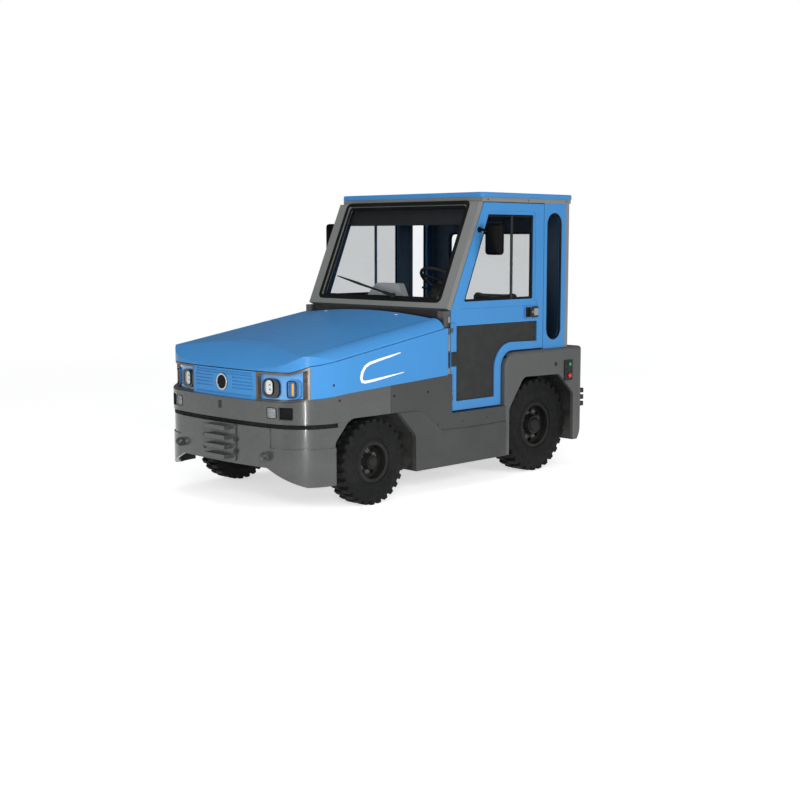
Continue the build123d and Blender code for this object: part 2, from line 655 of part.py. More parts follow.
def lamp_block(outer, inner, margin):
    """The nose wall between two insets over the left headlamp's opening, less a margin all round."""
    with BuildPart() as block:
        with BuildSketch(Plane.XY.offset(600)):
            add(nose_plan(outer, 0, setback))
            add(nose_plan(inner, 0, setback), mode=Mode.SUBTRACT)
            with Locations((lamp_rear_x + margin, lamp_y + margin)):
                Rectangle(2 * nose_corner_r, body_y, align=Align.MIN, mode=Mode.INTERSECT)
        extrude(amount=400)
        with BuildSketch(facing_left(body_y + 10)):
            add(outline([(x, z + margin / 2) for x, z in belt[0:3]]
                + [(x, z - margin) for x, z in lid_seam[2::-1]]))
        extrude(amount=body_y, mode=Mode.INTERSECT)
    return block.part


with BuildPart() as headlamp:
    add(lamp_block(bezel_deep, housing_deep, 0))
keep_both(headlamp, "headlamps")

with BuildPart() as lamp_bezel:
    add(lamp_block(0, bezel_deep, 0))
    add(lamp_block(-5, bezel_deep, bezel_w), mode=Mode.SUBTRACT)
keep_both(lamp_bezel, "lamp_bezels")

with BuildPart() as lamp_pods:
    for y, z, wide, high, corner, inset in pod_rows:
        for side in (1, -1):
            add(nose_patch(inset, bezel_deep, side * y, z, wide, high, corner, setback))
    add(lens_solids((lenses[0], turn_lens), lens_fit), mode=Mode.SUBTRACT)
keep(lamp_pods, "lamp_pods")

# Front axle: beam, pads under the rails and a yoke at each end
front_z = front_tyre_r
yoke_half, yoke_t, yoke_r = 57, 25, 42
with BuildPart() as front_axle:
    with BuildSketch(Plane.XZ.offset(-480)):
        with Locations((front_axle_x, front_z)):
            RectangleRounded(90, 2 * yoke_half, 12)
    extrude(amount=960)
    for low in (front_z - yoke_half - yoke_t, front_z + yoke_half):
        with BuildSketch(Plane.XY.offset(low)):
            with Locations((front_axle_x, 0)):
                Rectangle(2 * yoke_r, 2 * kingpin_y)
            with Locations((front_axle_x, kingpin_y), (front_axle_x, -kingpin_y)):
                Circle(yoke_r)
                Circle(kingpin_r + running_fit, mode=Mode.SUBTRACT)
            with Locations((front_axle_x, 0)):
                Rectangle(2 * yoke_r, 700, mode=Mode.SUBTRACT)
        extrude(amount=yoke_t)
    with BuildSketch(Plane.XY.offset(front_z + 40)):
        with Locations((front_axle_x, rail_y + rail_t / 2), (front_axle_x, -rail_y - rail_t / 2)):
            Rectangle(150, 60)
    extrude(amount=rail_low - front_z - 40)
keep(front_axle, "front_axle")

# Steering knuckles: kingpin barrel, stub axle and steering arm
arm_low, arm_t = 240, 20
with BuildPart() as knuckle:
    with BuildSketch(Plane.XY.offset(front_z - yoke_half + 1)):
        with Locations((front_axle_x, kingpin_y)):
            Circle(38)
    extrude(amount=2 * yoke_half - 2)
    with BuildSketch(Plane.XY.offset(front_z - yoke_half - yoke_t - 4)):
        with Locations((front_axle_x, kingpin_y)):
            Circle(kingpin_r)
    extrude(amount=2 * (yoke_half + yoke_t + 4))
    with BuildSketch(Plane.XZ.offset(-kingpin_y)):
        with Locations((front_axle_x, front_z)):
            Circle(front_spindle_r)
    extrude(amount=-150)
    with BuildSketch(Plane.XY.offset(arm_low)):
        with Locations((front_axle_x - steer_arm, kingpin_y)):
            Rectangle(steer_arm, 34, align=(Align.MIN, Align.CENTER))
            Circle(17)
            Circle(10 + running_fit, mode=Mode.SUBTRACT)
    extrude(amount=arm_t)
keep_pair(knuckle, "knuckle")

# Tie rod between the steering arms
with BuildPart() as tie_rod:
    with BuildSketch(Plane.XZ.offset(kingpin_y)):
        with Locations((front_axle_x - steer_arm, arm_low - 16)):
            Circle(13)
    extrude(amount=-2 * kingpin_y)
    for y in (kingpin_y, -kingpin_y):
        with BuildSketch(Plane.XY.offset(arm_low - 30)):
            with Locations((front_axle_x - steer_arm, y)):
                Circle(20)
        extrude(amount=29.5)
        with BuildSketch(Plane.XY.offset(arm_low - 10)):
            with Locations((front_axle_x - steer_arm, y)):
                Circle(10 if y > 0 else 9)
        extrude(amount=arm_t + 14)
keep(tie_rod, "tie_rod")

# Rear axle: differential, tubes and spindles turned in one profile, with rail seats
rear_z = rear_tyre_r
with BuildPart() as rear_axle:
    with BuildSketch(Plane((rear_axle_x, 0, rear_z), x_dir=(0, 1, 0), z_dir=(1, 0, 0))):
        with BuildLine():
            Polyline((-640, 0), (-640, rear_spindle_r), (-470, rear_spindle_r), (-470, 100), (-440, 100),
                     (-440, 58),
                     (-170, 62), (-110, 140), (-40, 160), (40, 160), (110, 140), (170, 62), (440, 58),
                     (440, 100), (470, 100), (470, rear_spindle_r), (640, rear_spindle_r),
                     (640, 0), close=True)
        make_face()
    revolve(axis=Axis((rear_axle_x, 0, rear_z), (0, 1, 0)))
    with BuildSketch(Plane.XY.offset(rear_z + 30)):
        with Locations((rear_axle_x, rail_y + rail_t / 2), (rear_axle_x, -rail_y - rail_t / 2)):
            Rectangle(130, 60)
    extrude(amount=440 - rear_z - 30)
    with BuildSketch(Plane.YZ.offset(rear_axle_x + 100)):
        with Locations((0, rear_z + 30)):
            Circle(125)
    extrude(amount=290)
keep(rear_axle, "drive_axle")


def wheel_plane(x, y, z):
    """Half-section plane of a wheel: outwards along Y to the right, radius upwards."""
    return Plane((x, y, z), x_dir=(0, 1, 0), z_dir=(1, 0, 0))


def ring_outline(radii, sides):
    """A closed outline round a wheel whose flat sides take the given radii in turn."""
    turn = 2 * pi / sides
    points = [(radii[k % len(radii)] * cos(a), radii[k % len(radii)] * sin(a))
              for k in range(sides) for a in (k * turn, (k + 1) * turn)]
    return outline(points if len(radii) > 1 else points[::2])


def flat_ring(x, y, z, wide, radii, sides):
    """A flat-sided ring or disc of the given width, centred on the wheel."""
    with BuildPart() as ring:
        with BuildSketch(Plane.XZ.offset(-wide / 2 - y)):
            with Locations((x, z)):
                add(ring_outline(radii, sides))
        extrude(amount=wide)
    return ring.part


def lug_rows(x, y, radius, width):
    """Two rows of lugs that meet in a narrow rib, the second turned by one lug's width."""
    with BuildPart() as rows:
        for side, radii in ((1, (radius + 1, radius - lug_deep)), (-1, (radius - lug_deep, radius + 1))):
            with BuildSketch(Plane.XZ.offset(side * centre_rib - y)):
                with Locations((x, radius)):
                    add(ring_outline(radii, 2 * lugs_per_row))
            extrude(amount=-side * width)
    return rows.part


def tyre(x, y, radius, width, bead_r):
    """A tyre of flat facets: bevelled shoulders, leaning side walls and two staggered rows of deep lugs."""
    bore_r = bead_r / cos(pi / lugs_per_row)
    with BuildPart() as ring:
        add(flat_ring(x, y, radius, width, (radius,), 2 * lugs_per_row))
        for end in (0, -1):
            wall = ring.faces().sort_by(Axis.Y)[end]
            chamfer(wall.outer_wire().edges(), shoulder_high, shoulder_wide, reference=wall)
            wall = ring.faces().sort_by(Axis.Y)[end]
            chamfer(wall.outer_wire().edges(), wall_high, wall_lean, reference=wall)
        add(lug_rows(x, y, radius, width), mode=Mode.INTERSECT)
        add(flat_ring(x, y, radius, 2 * width, (bore_r,), lugs_per_row), mode=Mode.SUBTRACT)
    return ring.part


def rim(x, y, axle_z, rim_r, width, hub_r, bore_r, disc_at, hub_in, hub_out, holes, hole_r):
    """A pressed steel rim with a drilled disc and a hub that is bored from its inner end."""
    half = width / 2
    with BuildPart() as disc:
        with BuildSketch(wheel_plane(x, y, axle_z)):
            with BuildLine():
                Polyline((-half, rim_r + 16), (-half, rim_r - 8), (disc_at, rim_r - 8), (disc_at, hub_r),
                         (hub_in, hub_r), (hub_in, 0), (hub_out, 0), (hub_out, hub_r - 8),
                         (disc_at + 12, hub_r), (disc_at + 12, rim_r - 8), (half, rim_r - 8),
                         (half, rim_r + 16),
                         (half - 8, rim_r + 16), (half - 16, rim_r), (16 - half, rim_r),
                         (8 - half, rim_r + 16),
                         close=True)
            make_face()
        revolve(axis=Axis((x, 0, axle_z), (0, 1, 0)))
        with BuildSketch(Plane.XZ.offset(-y - hub_in)):
            with Locations((x, axle_z)):
                Circle(bore_r)
        extrude(amount=-(hub_out - hub_in - 14), mode=Mode.SUBTRACT)
        with BuildSketch(Plane.XZ.offset(-y - disc_at)):
            with Locations((x, axle_z)):
                with PolarLocations((rim_r + hub_r) / 2, holes):
                    Circle(hole_r)
        extrude(amount=-12, mode=Mode.SUBTRACT)
    return disc.part


lug_deep, lugs_per_row, centre_rib = 20, 28, 4     # the rows meet in a rib of twice this width
shoulder_high, shoulder_wide, wall_high, wall_lean = 24, 20, 46, 5
# Rows of corner, axle X, wheel Y, tyre radius, width, rim radius, hub radius, bore, disc offset,
# hub inner and outer ends, holes and hole radius; the left wheel is mirrored
wheels = (("front", front_axle_x, front_wheel_y, front_tyre_r, front_tyre_w, 118, 52,
           front_spindle_r + running_fit, 0, -48, 62, 6, 14),
          ("rear", rear_axle_x, rear_wheel_y, rear_tyre_r, rear_tyre_w, 150, 75,
           rear_spindle_r + running_fit, 20, -60, 75, 8, 18))
for name, x, y, radius, width, rim_r, hub_r, bore_r, disc_at, hub_in, hub_out, holes, hole_r in wheels:
    with BuildPart() as tyre_piece:
        add(tyre(x, y, radius, width, rim_r + 16.3))
    keep_pair(tyre_piece, f"{name}_tyre")
    with BuildPart() as rim_piece:
        add(rim(x, y, radius, rim_r, width - 28, hub_r, bore_r, disc_at, hub_in, hub_out, holes, hole_r))
    keep_pair(rim_piece, f"{name}_rim")


# Wheel liners: the black inner guards over and behind each wheel
edge, top = front_axle_x - front_tyre_r, 2 * front_tyre_r
with BuildPart() as front_liner:
    with BuildSketch(facing_left(body_y - shell)):
        add(outline(((edge - 125, skirt_low), (edge - 115, skirt_low), (edge - 115, front_tyre_r + 140),
                     (edge + 42, top + 26), (edge + 110, top + 26), (edge + 110, top + 34),
                     (edge + 38, top + 34), (edge - 125, front_tyre_r + 144))))
    extrude(amount=body_y - shell - battery_y - 7)

edge, top, front_end = rear_axle_x - rear_tyre_r, 2 * rear_tyre_r, rear_axle_x + rear_tyre_r - 127
with BuildPart() as rear_liner:
    with BuildSketch(facing_left(body_y - shell)):
        add(outline(((edge - 28, 200), (edge - 20, 200), (edge - 20, rear_tyre_r + 226),
                     (edge + 147, top + 38), (front_end, top + 46), (front_end, top + 54),
                     (edge + 144, top + 46), (edge - 28, rear_tyre_r + 230))))
    extrude(amount=body_y - shell - 470)

with BuildPart() as wheel_liners:
    for liner in (front_liner, rear_liner):
        add(liner.part)
        mirror(liner.part, about=Plane.XZ)
keep(wheel_liners, "wheel_liners")

# Front hitch: a back plate and four jaw plates bored for a tow pin
hitch_bore_r, hitch_edge = 12.5, 25
front_tip_x = nose_x + front_jaw_reach
hitch_pin_x = front_tip_x - hitch_edge
with BuildPart() as front_hitch:
    with BuildSketch(Plane.YZ.offset(nose_x - 20)):
        with Locations((0, 415)):
            RectangleRounded(320, 240, 20)
    extrude(amount=28)
    # Rows of jaw plate underside
    for low in (308, 370, 432, 494):
        with BuildSketch(Plane.XY.offset(low)):
            with Locations((nose_x, 0)):
                Rectangle(front_jaw_reach, 210, align=(Align.MIN, Align.CENTER))
            with Locations((hitch_pin_x, 0)):
                Circle(hitch_bore_r, mode=Mode.SUBTRACT)
        extrude(amount=26)
    with BuildSketch(Plane.XY):
        add(nose_plan(-0.3))
    extrude(amount=700, mode=Mode.SUBTRACT)
keep(front_hitch, "front_hitch")

# Rear hitch: the same jaws, longer, with its drawbar pin in place
rear_tip_x, rear_pin_r, rear_edge = rear_x - rear_jaw_reach, 15, 35
rear_pin_x = rear_tip_x + rear_edge
with BuildPart() as rear_hitch:
    with BuildSketch(Plane.YZ.offset(rear_x - 14)):
        with Locations((0, 415)):
            RectangleRounded(340, 260, 20)
    extrude(amount=14)
    for low in (300, 380, 460):
        with BuildSketch(Plane.XY.offset(low)):
            with Locations((rear_tip_x, 0)):
                Rectangle(rear_jaw_reach, 220, align=(Align.MIN, Align.CENTER))
            with Locations((rear_pin_x, 0)):
                Circle(rear_pin_r, mode=Mode.SUBTRACT)
        extrude(amount=28)
    with BuildSketch(Plane.XY.offset(292)):
        with Locations((rear_pin_x, 0)):
            Circle(rear_pin_r)
    extrude(amount=230)
    with BuildSketch(Plane.XY.offset(490)):
        with Locations((rear_pin_x, 0)):
            Circle(26)
    extrude(amount=14)
keep(rear_hitch, "rear_hitch")

# Corner buffers, tail lamps and the control panel at the rear
with BuildPart() as rear_buffers:
    for side in (1, -1):
        for low in (440, 490, 540):
            with BuildSketch(Plane.XY.offset(low)):
                with Locations((rear_x, side * 640)):
                    Rectangle(40, 130, align=(Align.MAX, Align.CENTER))
            extrude(amount=34)
keep(rear_buffers, "rear_buffers")

with BuildPart() as tail_lamps:
    for side in (1, -1):
        with BuildSketch(Plane.YZ.offset(rear_x - 22)):
            with Locations((side * 620, 720)):
                RectangleRounded(100, 120, 12)
        extrude(amount=22)
keep(tail_lamps, "tail_lamps")

with BuildPart() as control_panel:
    with BuildSketch(Plane.XZ.offset(-body_y)):
        with Locations((-1214, 730)):
            RectangleRounded(95, 152, 8)
    extrude(amount=-8)
keep(control_panel, "control_panel")

# Dash with the instrument hump
with BuildPart() as dash:
    with BuildSketch(facing_left(600)):
        add(outline(((firewall_x, 960), (firewall_x, 1200), (10, 1225), (-110, 1225), (-150, 1180),
                     (-120, 1120), (-40, 960))))
    extrude(amount=1200)
    with BuildSketch(Plane.YZ.offset(-110)):
        add(outline(((-214, 1200), (164, 1200), (164, 1284), (114, 1385), (-109, 1385),
                     (-214, 1284)), 20, (3, 4)))
    extrude(amount=60)
keep(dash, "dash")

# Steering column and wheel
steer_wheel_x, steer_wheel_y, steer_wheel_z, steer_wheel_r, column_lean = -440, 180, 1395, 180, 35
column_axis = (-sin(radians(column_lean)), 0, cos(radians(column_lean)))
wheel_hub_plane = Plane((steer_wheel_x, steer_wheel_y, steer_wheel_z), x_dir=(0, 1, 0), z_dir=column_axis)
with BuildPart() as steering_column:
    with BuildSketch(wheel_hub_plane.offset(-38.3)):
        Circle(30)
    extrude(amount=-900)
    with BuildSketch(wheel_hub_plane.offset(-20)):
        Circle(12)
    extrude(amount=-40)
    with BuildSketch(Plane.YZ.offset(firewall_x)):
        Rectangle(2000, 4000)
    extrude(amount=400, mode=Mode.SUBTRACT)
keep(steering_column, "steering_column")

with BuildPart() as steering_wheel:
    with BuildSketch(Plane((steer_wheel_x, steer_wheel_y, steer_wheel_z), x_dir=(0, 1, 0),
                           z_dir=(cos(radians(column_lean)), 0, sin(radians(column_lean))))):
        with Locations((steer_wheel_r - 13, 0)):
            Circle(13)
    revolve(axis=Axis((steer_wheel_x, steer_wheel_y, steer_wheel_z), column_axis))
    with BuildSketch(wheel_hub_plane.offset(-38)):
        Circle(34)
    extrude(amount=44)
    with BuildSketch(wheel_hub_plane.offset(-38)):
        Circle(12 + running_fit)
    extrude(amount=20, mode=Mode.SUBTRACT)
    with BuildSketch(wheel_hub_plane.offset(-8)):
        with PolarLocations(0, 3, start_angle=90):
            Rectangle(steer_wheel_r - 16, 28, align=(Align.MIN, Align.CENTER))
    extrude(amount=10)
keep(steering_wheel, "steering_wheel")

seat_y = 180
with BuildPart() as seat_base:
    with BuildSketch(Plane.XY.offset(deck_top)):
        with Locations((-840, seat_y)):
            RectangleRounded(400, 400, 30)
    extrude(amount=40)
keep(seat_base, "seat_base")

with BuildPart() as seat_cushion:
    with BuildSketch(Plane.XY.offset(deck_top + 40.3)):
        with Locations((-835, seat_y)):
            RectangleRounded(470, 480, 60)
    extrude(amount=95)
keep(seat_cushion, "seat_cushion")

with BuildPart() as seat_back:
    with BuildSketch(facing_left(seat_y + 235)):
        add(outline(((-1046, 1036), (-986, 1036), (-1020, 1310), (-1100, 1310)), 24, (2, 3)))
    extrude(amount=470)
keep(seat_back, "seat_back")

# Brake and drive pedals hang from the firewall
with BuildPart() as pedals:
    for y in (100, 270):
        with BuildSketch(facing_left(y + 8)):
            add(outline(((firewall_x, 880), (firewall_x, 850), (-48, 634), (-62, 642))))
        extrude(amount=16)
        with BuildSketch(facing_left(y + 35)):
            add(outline(((-80, 690), (-36, 592), (-47, 587), (-91, 685))))
        extrude(amount=70)
keep(pedals, "pedals")
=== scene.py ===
"""Looks of the airport baggage tug: finishes, soft seat, small fittings, studio stage and camera.

Metres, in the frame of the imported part: +X forward, +Y the driver's left, floor at Z = 0.
"""
import math

import bmesh
import bpy
from bpy.props import FloatProperty, FloatVectorProperty, IntProperty, PointerProperty
from bpy.types import Operator, Panel, PropertyGroup
from mathutils import Matrix, Vector


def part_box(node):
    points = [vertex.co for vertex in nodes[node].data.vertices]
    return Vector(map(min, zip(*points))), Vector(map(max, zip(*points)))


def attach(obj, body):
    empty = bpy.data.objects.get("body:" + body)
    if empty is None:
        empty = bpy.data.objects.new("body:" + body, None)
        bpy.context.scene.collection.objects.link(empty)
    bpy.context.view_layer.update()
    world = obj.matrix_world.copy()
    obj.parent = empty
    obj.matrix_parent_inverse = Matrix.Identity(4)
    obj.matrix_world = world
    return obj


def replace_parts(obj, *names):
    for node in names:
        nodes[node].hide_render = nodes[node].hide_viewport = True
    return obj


bl_info = {
    "name": "Baggage Tug Looks",
    "version": (1, 0, 0),
    "blender": (4, 5, 0),
    "location": "3D View > Sidebar > Tug",
    "description": "Dresses the packed baggage tug with its finishes, fittings and stage",
    "category": "Object",
}

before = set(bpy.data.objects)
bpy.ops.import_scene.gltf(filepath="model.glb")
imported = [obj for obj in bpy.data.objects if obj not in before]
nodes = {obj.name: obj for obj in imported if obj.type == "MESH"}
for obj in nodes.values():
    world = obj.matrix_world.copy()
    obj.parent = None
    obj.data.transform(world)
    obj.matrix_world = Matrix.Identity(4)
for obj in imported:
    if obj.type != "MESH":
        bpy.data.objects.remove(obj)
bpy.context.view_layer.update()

X, Y, Z = Vector((1, 0, 0)), Vector((0, 1, 0)), Vector((0, 0, 1))
SIDES = (("left", 1), ("right", -1))


class TugPaints(PropertyGroup):
    """Colours of the finishes, as they look on screen."""
    blue: FloatVectorProperty(name="Body blue", description="Gloss paint of the bonnet, doors and roof",
                              subtype="COLOR_GAMMA", size=3, default=(0.245, 0.50, 0.725))
    casting: FloatVectorProperty(name="Casting grey",
                                 description="Satin paint of the nose, skirts and rear body",
                                 subtype="COLOR_GAMMA", size=3, default=(0.25, 0.255, 0.255))
    frame_grey: FloatVectorProperty(name="Frame grey", description="Textured paint of the windscreen frame",
                                    subtype="COLOR_GAMMA", size=3, default=(0.44, 0.45, 0.44))
    door_grey: FloatVectorProperty(name="Door panel", description="Textured lower panel of the doors",
                                   subtype="COLOR_GAMMA", size=3, default=(0.125, 0.13, 0.127))
    pillar_grey: FloatVectorProperty(name="Pillar grey", description="Light paint of the rear pillars",
                                     subtype="COLOR_GAMMA", size=3, default=(0.46, 0.47, 0.47))
    header_grey: FloatVectorProperty(name="Header grey", description="Paint of the roof's header",
                                     subtype="COLOR_GAMMA", size=3, default=(0.47, 0.465, 0.45))
    chassis: FloatVectorProperty(name="Chassis black", description="Paint of the axles and frame rails",
                                 subtype="COLOR_GAMMA", size=3, default=(0.10, 0.10, 0.11))
    rubber: FloatVectorProperty(name="Rubber", description="Tyres and window seals",
                                subtype="COLOR_GAMMA", size=3, default=(0.06, 0.064, 0.064))
    plastic: FloatVectorProperty(name="Black plastic", description="Mirrors, liners and controls",
                                 subtype="COLOR_GAMMA", size=3, default=(0.10, 0.10, 0.10))
    dash_grey: FloatVectorProperty(name="Dash grey", description="Moulded dash and column shroud",
                                   subtype="COLOR_GAMMA", size=3, default=(0.56, 0.57, 0.57))
    cloth: FloatVectorProperty(name="Seat cloth", description="Woven seat cover",
                               subtype="COLOR_GAMMA", size=3, default=(0.16, 0.16, 0.17))
    glass: FloatVectorProperty(name="Glass tint",
                               description="Tint that the cab glass gives to what is behind it",
                               subtype="COLOR_GAMMA", size=3, default=(0.985, 0.988, 0.990))


class TugSizes(PropertyGroup):
    """Sizes of the added fittings."""
    seal_width: FloatProperty(name="Seal width", description="Width of the rubber round each window",
                              default=0.016, unit="LENGTH")
    lug_rows: IntProperty(name="Lugs a row", description="Tread lugs in each row of a tyre",
                          default=28, min=8)
    cushion_pressure: FloatProperty(name="Cushion pressure", default=4.0,
                                    description="How hard the seat foam fills its cover")
    cushion_rise: FloatProperty(name="Cushion rise", description="Furthest that the foam may swell",
                                default=0.016, unit="LENGTH")


class TugStage(PropertyGroup):
    """Camera and lights of the studio."""
    camera_place: FloatVectorProperty(name="Camera place", description="Where the camera stands",
                                      subtype="XYZ", unit="LENGTH", default=(6.6378, 6.7261, 1.6978))
    camera_turn: FloatProperty(name="Camera turn", description="Heading of the view about the vertical",
                               unit="ROTATION", default=math.radians(44.594))
    camera_dip: FloatProperty(name="Camera dip", description="How far the view looks down",
                              unit="ROTATION", default=math.radians(6.948))
    camera_lens: FloatProperty(name="Lens", description="Focal length in millimetres", default=59.45)
    sky: FloatProperty(name="Sky", description="Strength of the even studio light", default=0.36)


def linear(colour):
    """A screen colour as the shader's linear one, with alpha."""
    return tuple(c / 12.92 if c <= 0.04045 else ((c + 0.055) / 1.055) ** 2.4 for c in colour) + (1.0,)


class Finish:
    """One procedural material while its nodes are being joined."""

    def __init__(self, name):
        self.material = bpy.data.materials.new(name)
        self.material.use_nodes = True
        self.tree = self.material.node_tree
        self.tree.nodes.clear()
        self.shader = self.node("BsdfPrincipled")
        self.output = self.node("OutputMaterial")
        self.join(self.shader.outputs[0], self.output.inputs[0])
        self.place = self.node("TexCoord").outputs["Object"]
        self.rounded = None

    def node(self, kind, **settings):
        """A shader node, with its settings and inputs given by name."""
        made = self.tree.nodes.new("ShaderNode" + kind)
        for key, value in settings.items():
            if hasattr(made, key):
                setattr(made, key, value)
            else:
                made.inputs[key.replace("_", " ")].default_value = value
        return made

    def join(self, source, target):
        self.tree.links.new(source, target)

    def noise(self, scale, detail=3.0, stretch=(1, 1, 1)):
        """Soft noise over the piece, from 0 to 1."""
        mapping = self.node("Mapping", Scale=stretch)
        self.join(self.place, mapping.inputs["Vector"])
        made = self.node("TexNoise", Scale=scale, Detail=detail)
        self.join(mapping.outputs[0], made.inputs["Vector"])
        return made.outputs["Fac"]

    def spread(self, source, low, high, start=0.0, end=1.0):
        """Maps low..high of a value onto start..end."""
        made = self.node("MapRange")
        for key, value in (("From Min", low), ("From Max", high), ("To Min", start), ("To Max", end)):
            made.inputs[key].default_value = value
        self.join(source, made.inputs["Value"])
        return made.outputs[0]

    def maths(self, operation, first, second=None):
        """One or two values, each a number or a socket, put through an operation."""
        made = self.node("Math", operation=operation)
        for slot, value in enumerate((first, second)):
            if isinstance(value, (int, float)):
                made.inputs[slot].default_value = value
            elif value is not None:
                self.join(value, made.inputs[slot])
        return made.outputs[0]

    def blend(self, share, first, second):
        """A colour between two, each a colour or a socket."""
        made = self.node("Mix", data_type="RGBA")
        for slot, value in ((6, first), (7, second)):
            if isinstance(value, tuple):
                made.inputs[slot].default_value = value
            else:
                self.join(value, made.inputs[slot])
        self.join(share, made.inputs[0])
        return made.outputs[2]

    def along(self, axis):
        """The piece's own coordinate along X, Y or Z."""
        made = self.node("SeparateXYZ")
        self.join(self.place, made.inputs[0])
        return made.outputs[axis]

    def worn_edges(self, radius):
        """Rounds the edges in shading, and gives a value that rises on them."""
        self.rounded = self.node("Bevel", Radius=radius, samples=4)
        true_normal = self.node("NewGeometry").outputs["Normal"]
        dot = self.node("VectorMath", operation="DOT_PRODUCT")
        self.join(self.rounded.outputs[0], dot.inputs[0])
        self.join(true_normal, dot.inputs[1])
        return self.spread(dot.outputs["Value"], 0.995, 0.86)

    def bump(self, height, strength, distance):
        """Fine relief over the rounded edges."""
        made = self.node("Bump", Strength=strength, Distance=distance)
        self.join(height, made.inputs["Height"])
        if self.rounded:
            self.join(self.rounded.outputs[0], made.inputs["Normal"])
        self.join(made.outputs[0], self.shader.inputs["Normal"])

    def set(self, **values):
        for key, value in values.items():
            self.shader.inputs[key.replace("_", " ")].default_value = value
        return self

    def colour(self, source):
        self.join(source, self.shader.inputs["Base Color"])

    def roughness(self, source):
        self.join(source, self.shader.inputs["Roughness"])


finishes = {}


def shade(colour, factor):
    """A colour made lighter or darker."""
    return tuple(c * factor for c in colour[:3]) + (1.0,)


def painted(name, colour, rough, coat=0.0, grain=0.0, grain_size=900, wear=0.0, dust=0.0, inner=None,
            metallic=0.0, shine=0.3):
    """Paint or moulded plastic: mottled colour, fine grain, pale worn edges and dust low down."""
    look = Finish(name)
    patchy = look.noise(3.0, 4)
    body = look.blend(patchy, shade(colour, 0.93), shade(colour, 1.06))
    # A second colour where the mask is 1: a real second tone on the lamp pods, painted shade on faces inside
    # the cab
    if inner:
        where, second = inner
        body = look.blend(where(look), body, second)
    edge = look.worn_edges(0.003)
    scuffed = look.maths("MULTIPLY", edge, look.spread(look.noise(45, 5), 0.42, 0.62))
    pale = tuple(min(1, c * 2.2 + 0.05) for c in colour[:3]) + (1.0,)
    body = look.blend(look.maths("MULTIPLY", scuffed, wear), body, pale)
    if dust:
        low = look.spread(look.along(2), 0.75, 0.12)
        dusty = look.maths("MULTIPLY", low, look.spread(look.noise(6, 6), 0.35, 0.75))
        body = look.blend(look.maths("MULTIPLY", dusty, dust), body, linear((0.46, 0.45, 0.43)))
    look.colour(body)
    look.roughness(look.spread(look.noise(14, 4), 0.3, 0.7, *rough))
    look.bump(look.noise(grain_size, 2), 0.25 if grain else 0.04, grain or 0.0004)
    look.set(Coat_Weight=coat, Coat_Roughness=0.08, Metallic=metallic, Specular_IOR_Level=shine)
    finishes[name] = look.material


def cab_inside_shade(look):
    """1 on the faces of doors and side panels that look into the cab, which get a near-black copy of their
    paint as painted shade.
    """
    off = look.maths("ABSOLUTE", look.along(1))
    return look.spread(off, 0.6715, 0.6705)


def rear_face_inside_shade(look):
    """1 on the rear wall's faces that look into the cab, which get a near-black copy of the body blue as
    painted shade.
    """
    return look.maths("MULTIPLY", cab_inside_shade(look), look.spread(look.along(0), -1.2665, -1.2655))


def outer_pods(look):
    """1 on the lamp pods beside the nose's corners."""
    return look.spread(look.maths("ABSOLUTE", look.along(1)), 0.512, 0.518)


def glassy(name, tint, body, solid, rough=0.02, ribs=0.0):
    """Glass or clear plastic: what passes is tinted, and the rest shines more at a glancing angle."""
    look = Finish(name)
    glancing = look.maths("POWER", look.node("LayerWeight", Blend=0.5).outputs["Facing"], 5)
    smear = look.spread(look.noise(2.5, 5), 0.35, 0.8, 0.0, 0.015)
    share = look.maths("ADD", look.spread(glancing, 0.0, 1.0, solid, 0.9), smear)
    passing = look.node("BsdfTransparent", Color=tint)
    both = look.node("MixShader")
    look.join(share, both.inputs[0])
    look.join(passing.outputs[0], both.inputs[1])
    look.join(look.shader.outputs[0], both.inputs[2])
    look.join(both.outputs[0], look.output.inputs[0])
    look.colour(look.blend(look.noise(1.5, 2), shade(body, 0.9), shade(body, 1.05)))
    look.roughness(look.spread(look.noise(5, 4), 0.3, 0.8, rough, rough + 0.04))
    if ribs:
        wave = look.node("TexWave", Scale=ribs, bands_direction="Z")
        look.join(look.place, wave.inputs["Vector"])
        look.bump(wave.outputs["Fac"], 0.4, 0.002)
    finishes[name] = look.material


def rubber(name, colour, dust):
    """Dull rubber with pale edges and chalky patches."""
    look = Finish(name)
    edge = look.worn_edges(0.003)
    body = look.blend(look.noise(9, 5), shade(colour, 0.8), shade(colour, 1.25))
    body = look.blend(look.maths("MULTIPLY", edge, 0.35), body, shade(colour, 2.6))
    chalk = look.spread(look.noise(5, 6), 0.45, 0.85, 0.0, dust)
    look.colour(look.blend(chalk, body, linear((0.38, 0.37, 0.35))))
    look.roughness(look.spread(look.noise(30, 4), 0.3, 0.7, 0.62, 0.82))
    look.bump(look.noise(260, 4), 0.25, 0.0012)
    look.set(Specular_IOR_Level=0.15)
    finishes[name] = look.material


def metal(name, colour, rough, stretch):
    """Bare metal with brushed or turned lines."""
    look = Finish(name)
    look.worn_edges(0.0015)
    lines = look.noise(60, 3, stretch)
    look.colour(look.blend(lines, shade(colour, 0.8), shade(colour, 1.05)))
    look.roughness(look.spread(lines, 0.2, 0.8, rough - 0.08, rough + 0.1))
    look.bump(lines, 0.12, 0.0005)
    look.set(Metallic=1.0)
    finishes[name] = look.material


def woven(name, colour):
    """Seat cloth: crossed threads, a little fuzz and a soft sheen."""
    look = Finish(name)
    threads = []
    for direction in ("X", "Y"):
        wave = look.node("TexWave", Scale=190.0, Distortion=0.6, bands_direction=direction)
        look.join(look.place, wave.inputs["Vector"])
        threads.append(wave.outputs["Fac"])
    weave = look.maths("MULTIPLY", *threads)
    body = look.blend(look.noise(7, 4), shade(colour, 0.75), shade(colour, 1.2))
    look.colour(look.blend(look.maths("MULTIPLY", weave, 0.5), body, shade(colour, 2.1)))
    look.roughness(look.spread(look.noise(60, 3), 0.3, 0.7, 0.78, 0.95))
    look.bump(weave, 0.5, 0.0012)
    look.set(Sheen_Weight=0.35, Sheen_Roughness=0.5)
    finishes[name] = look.material


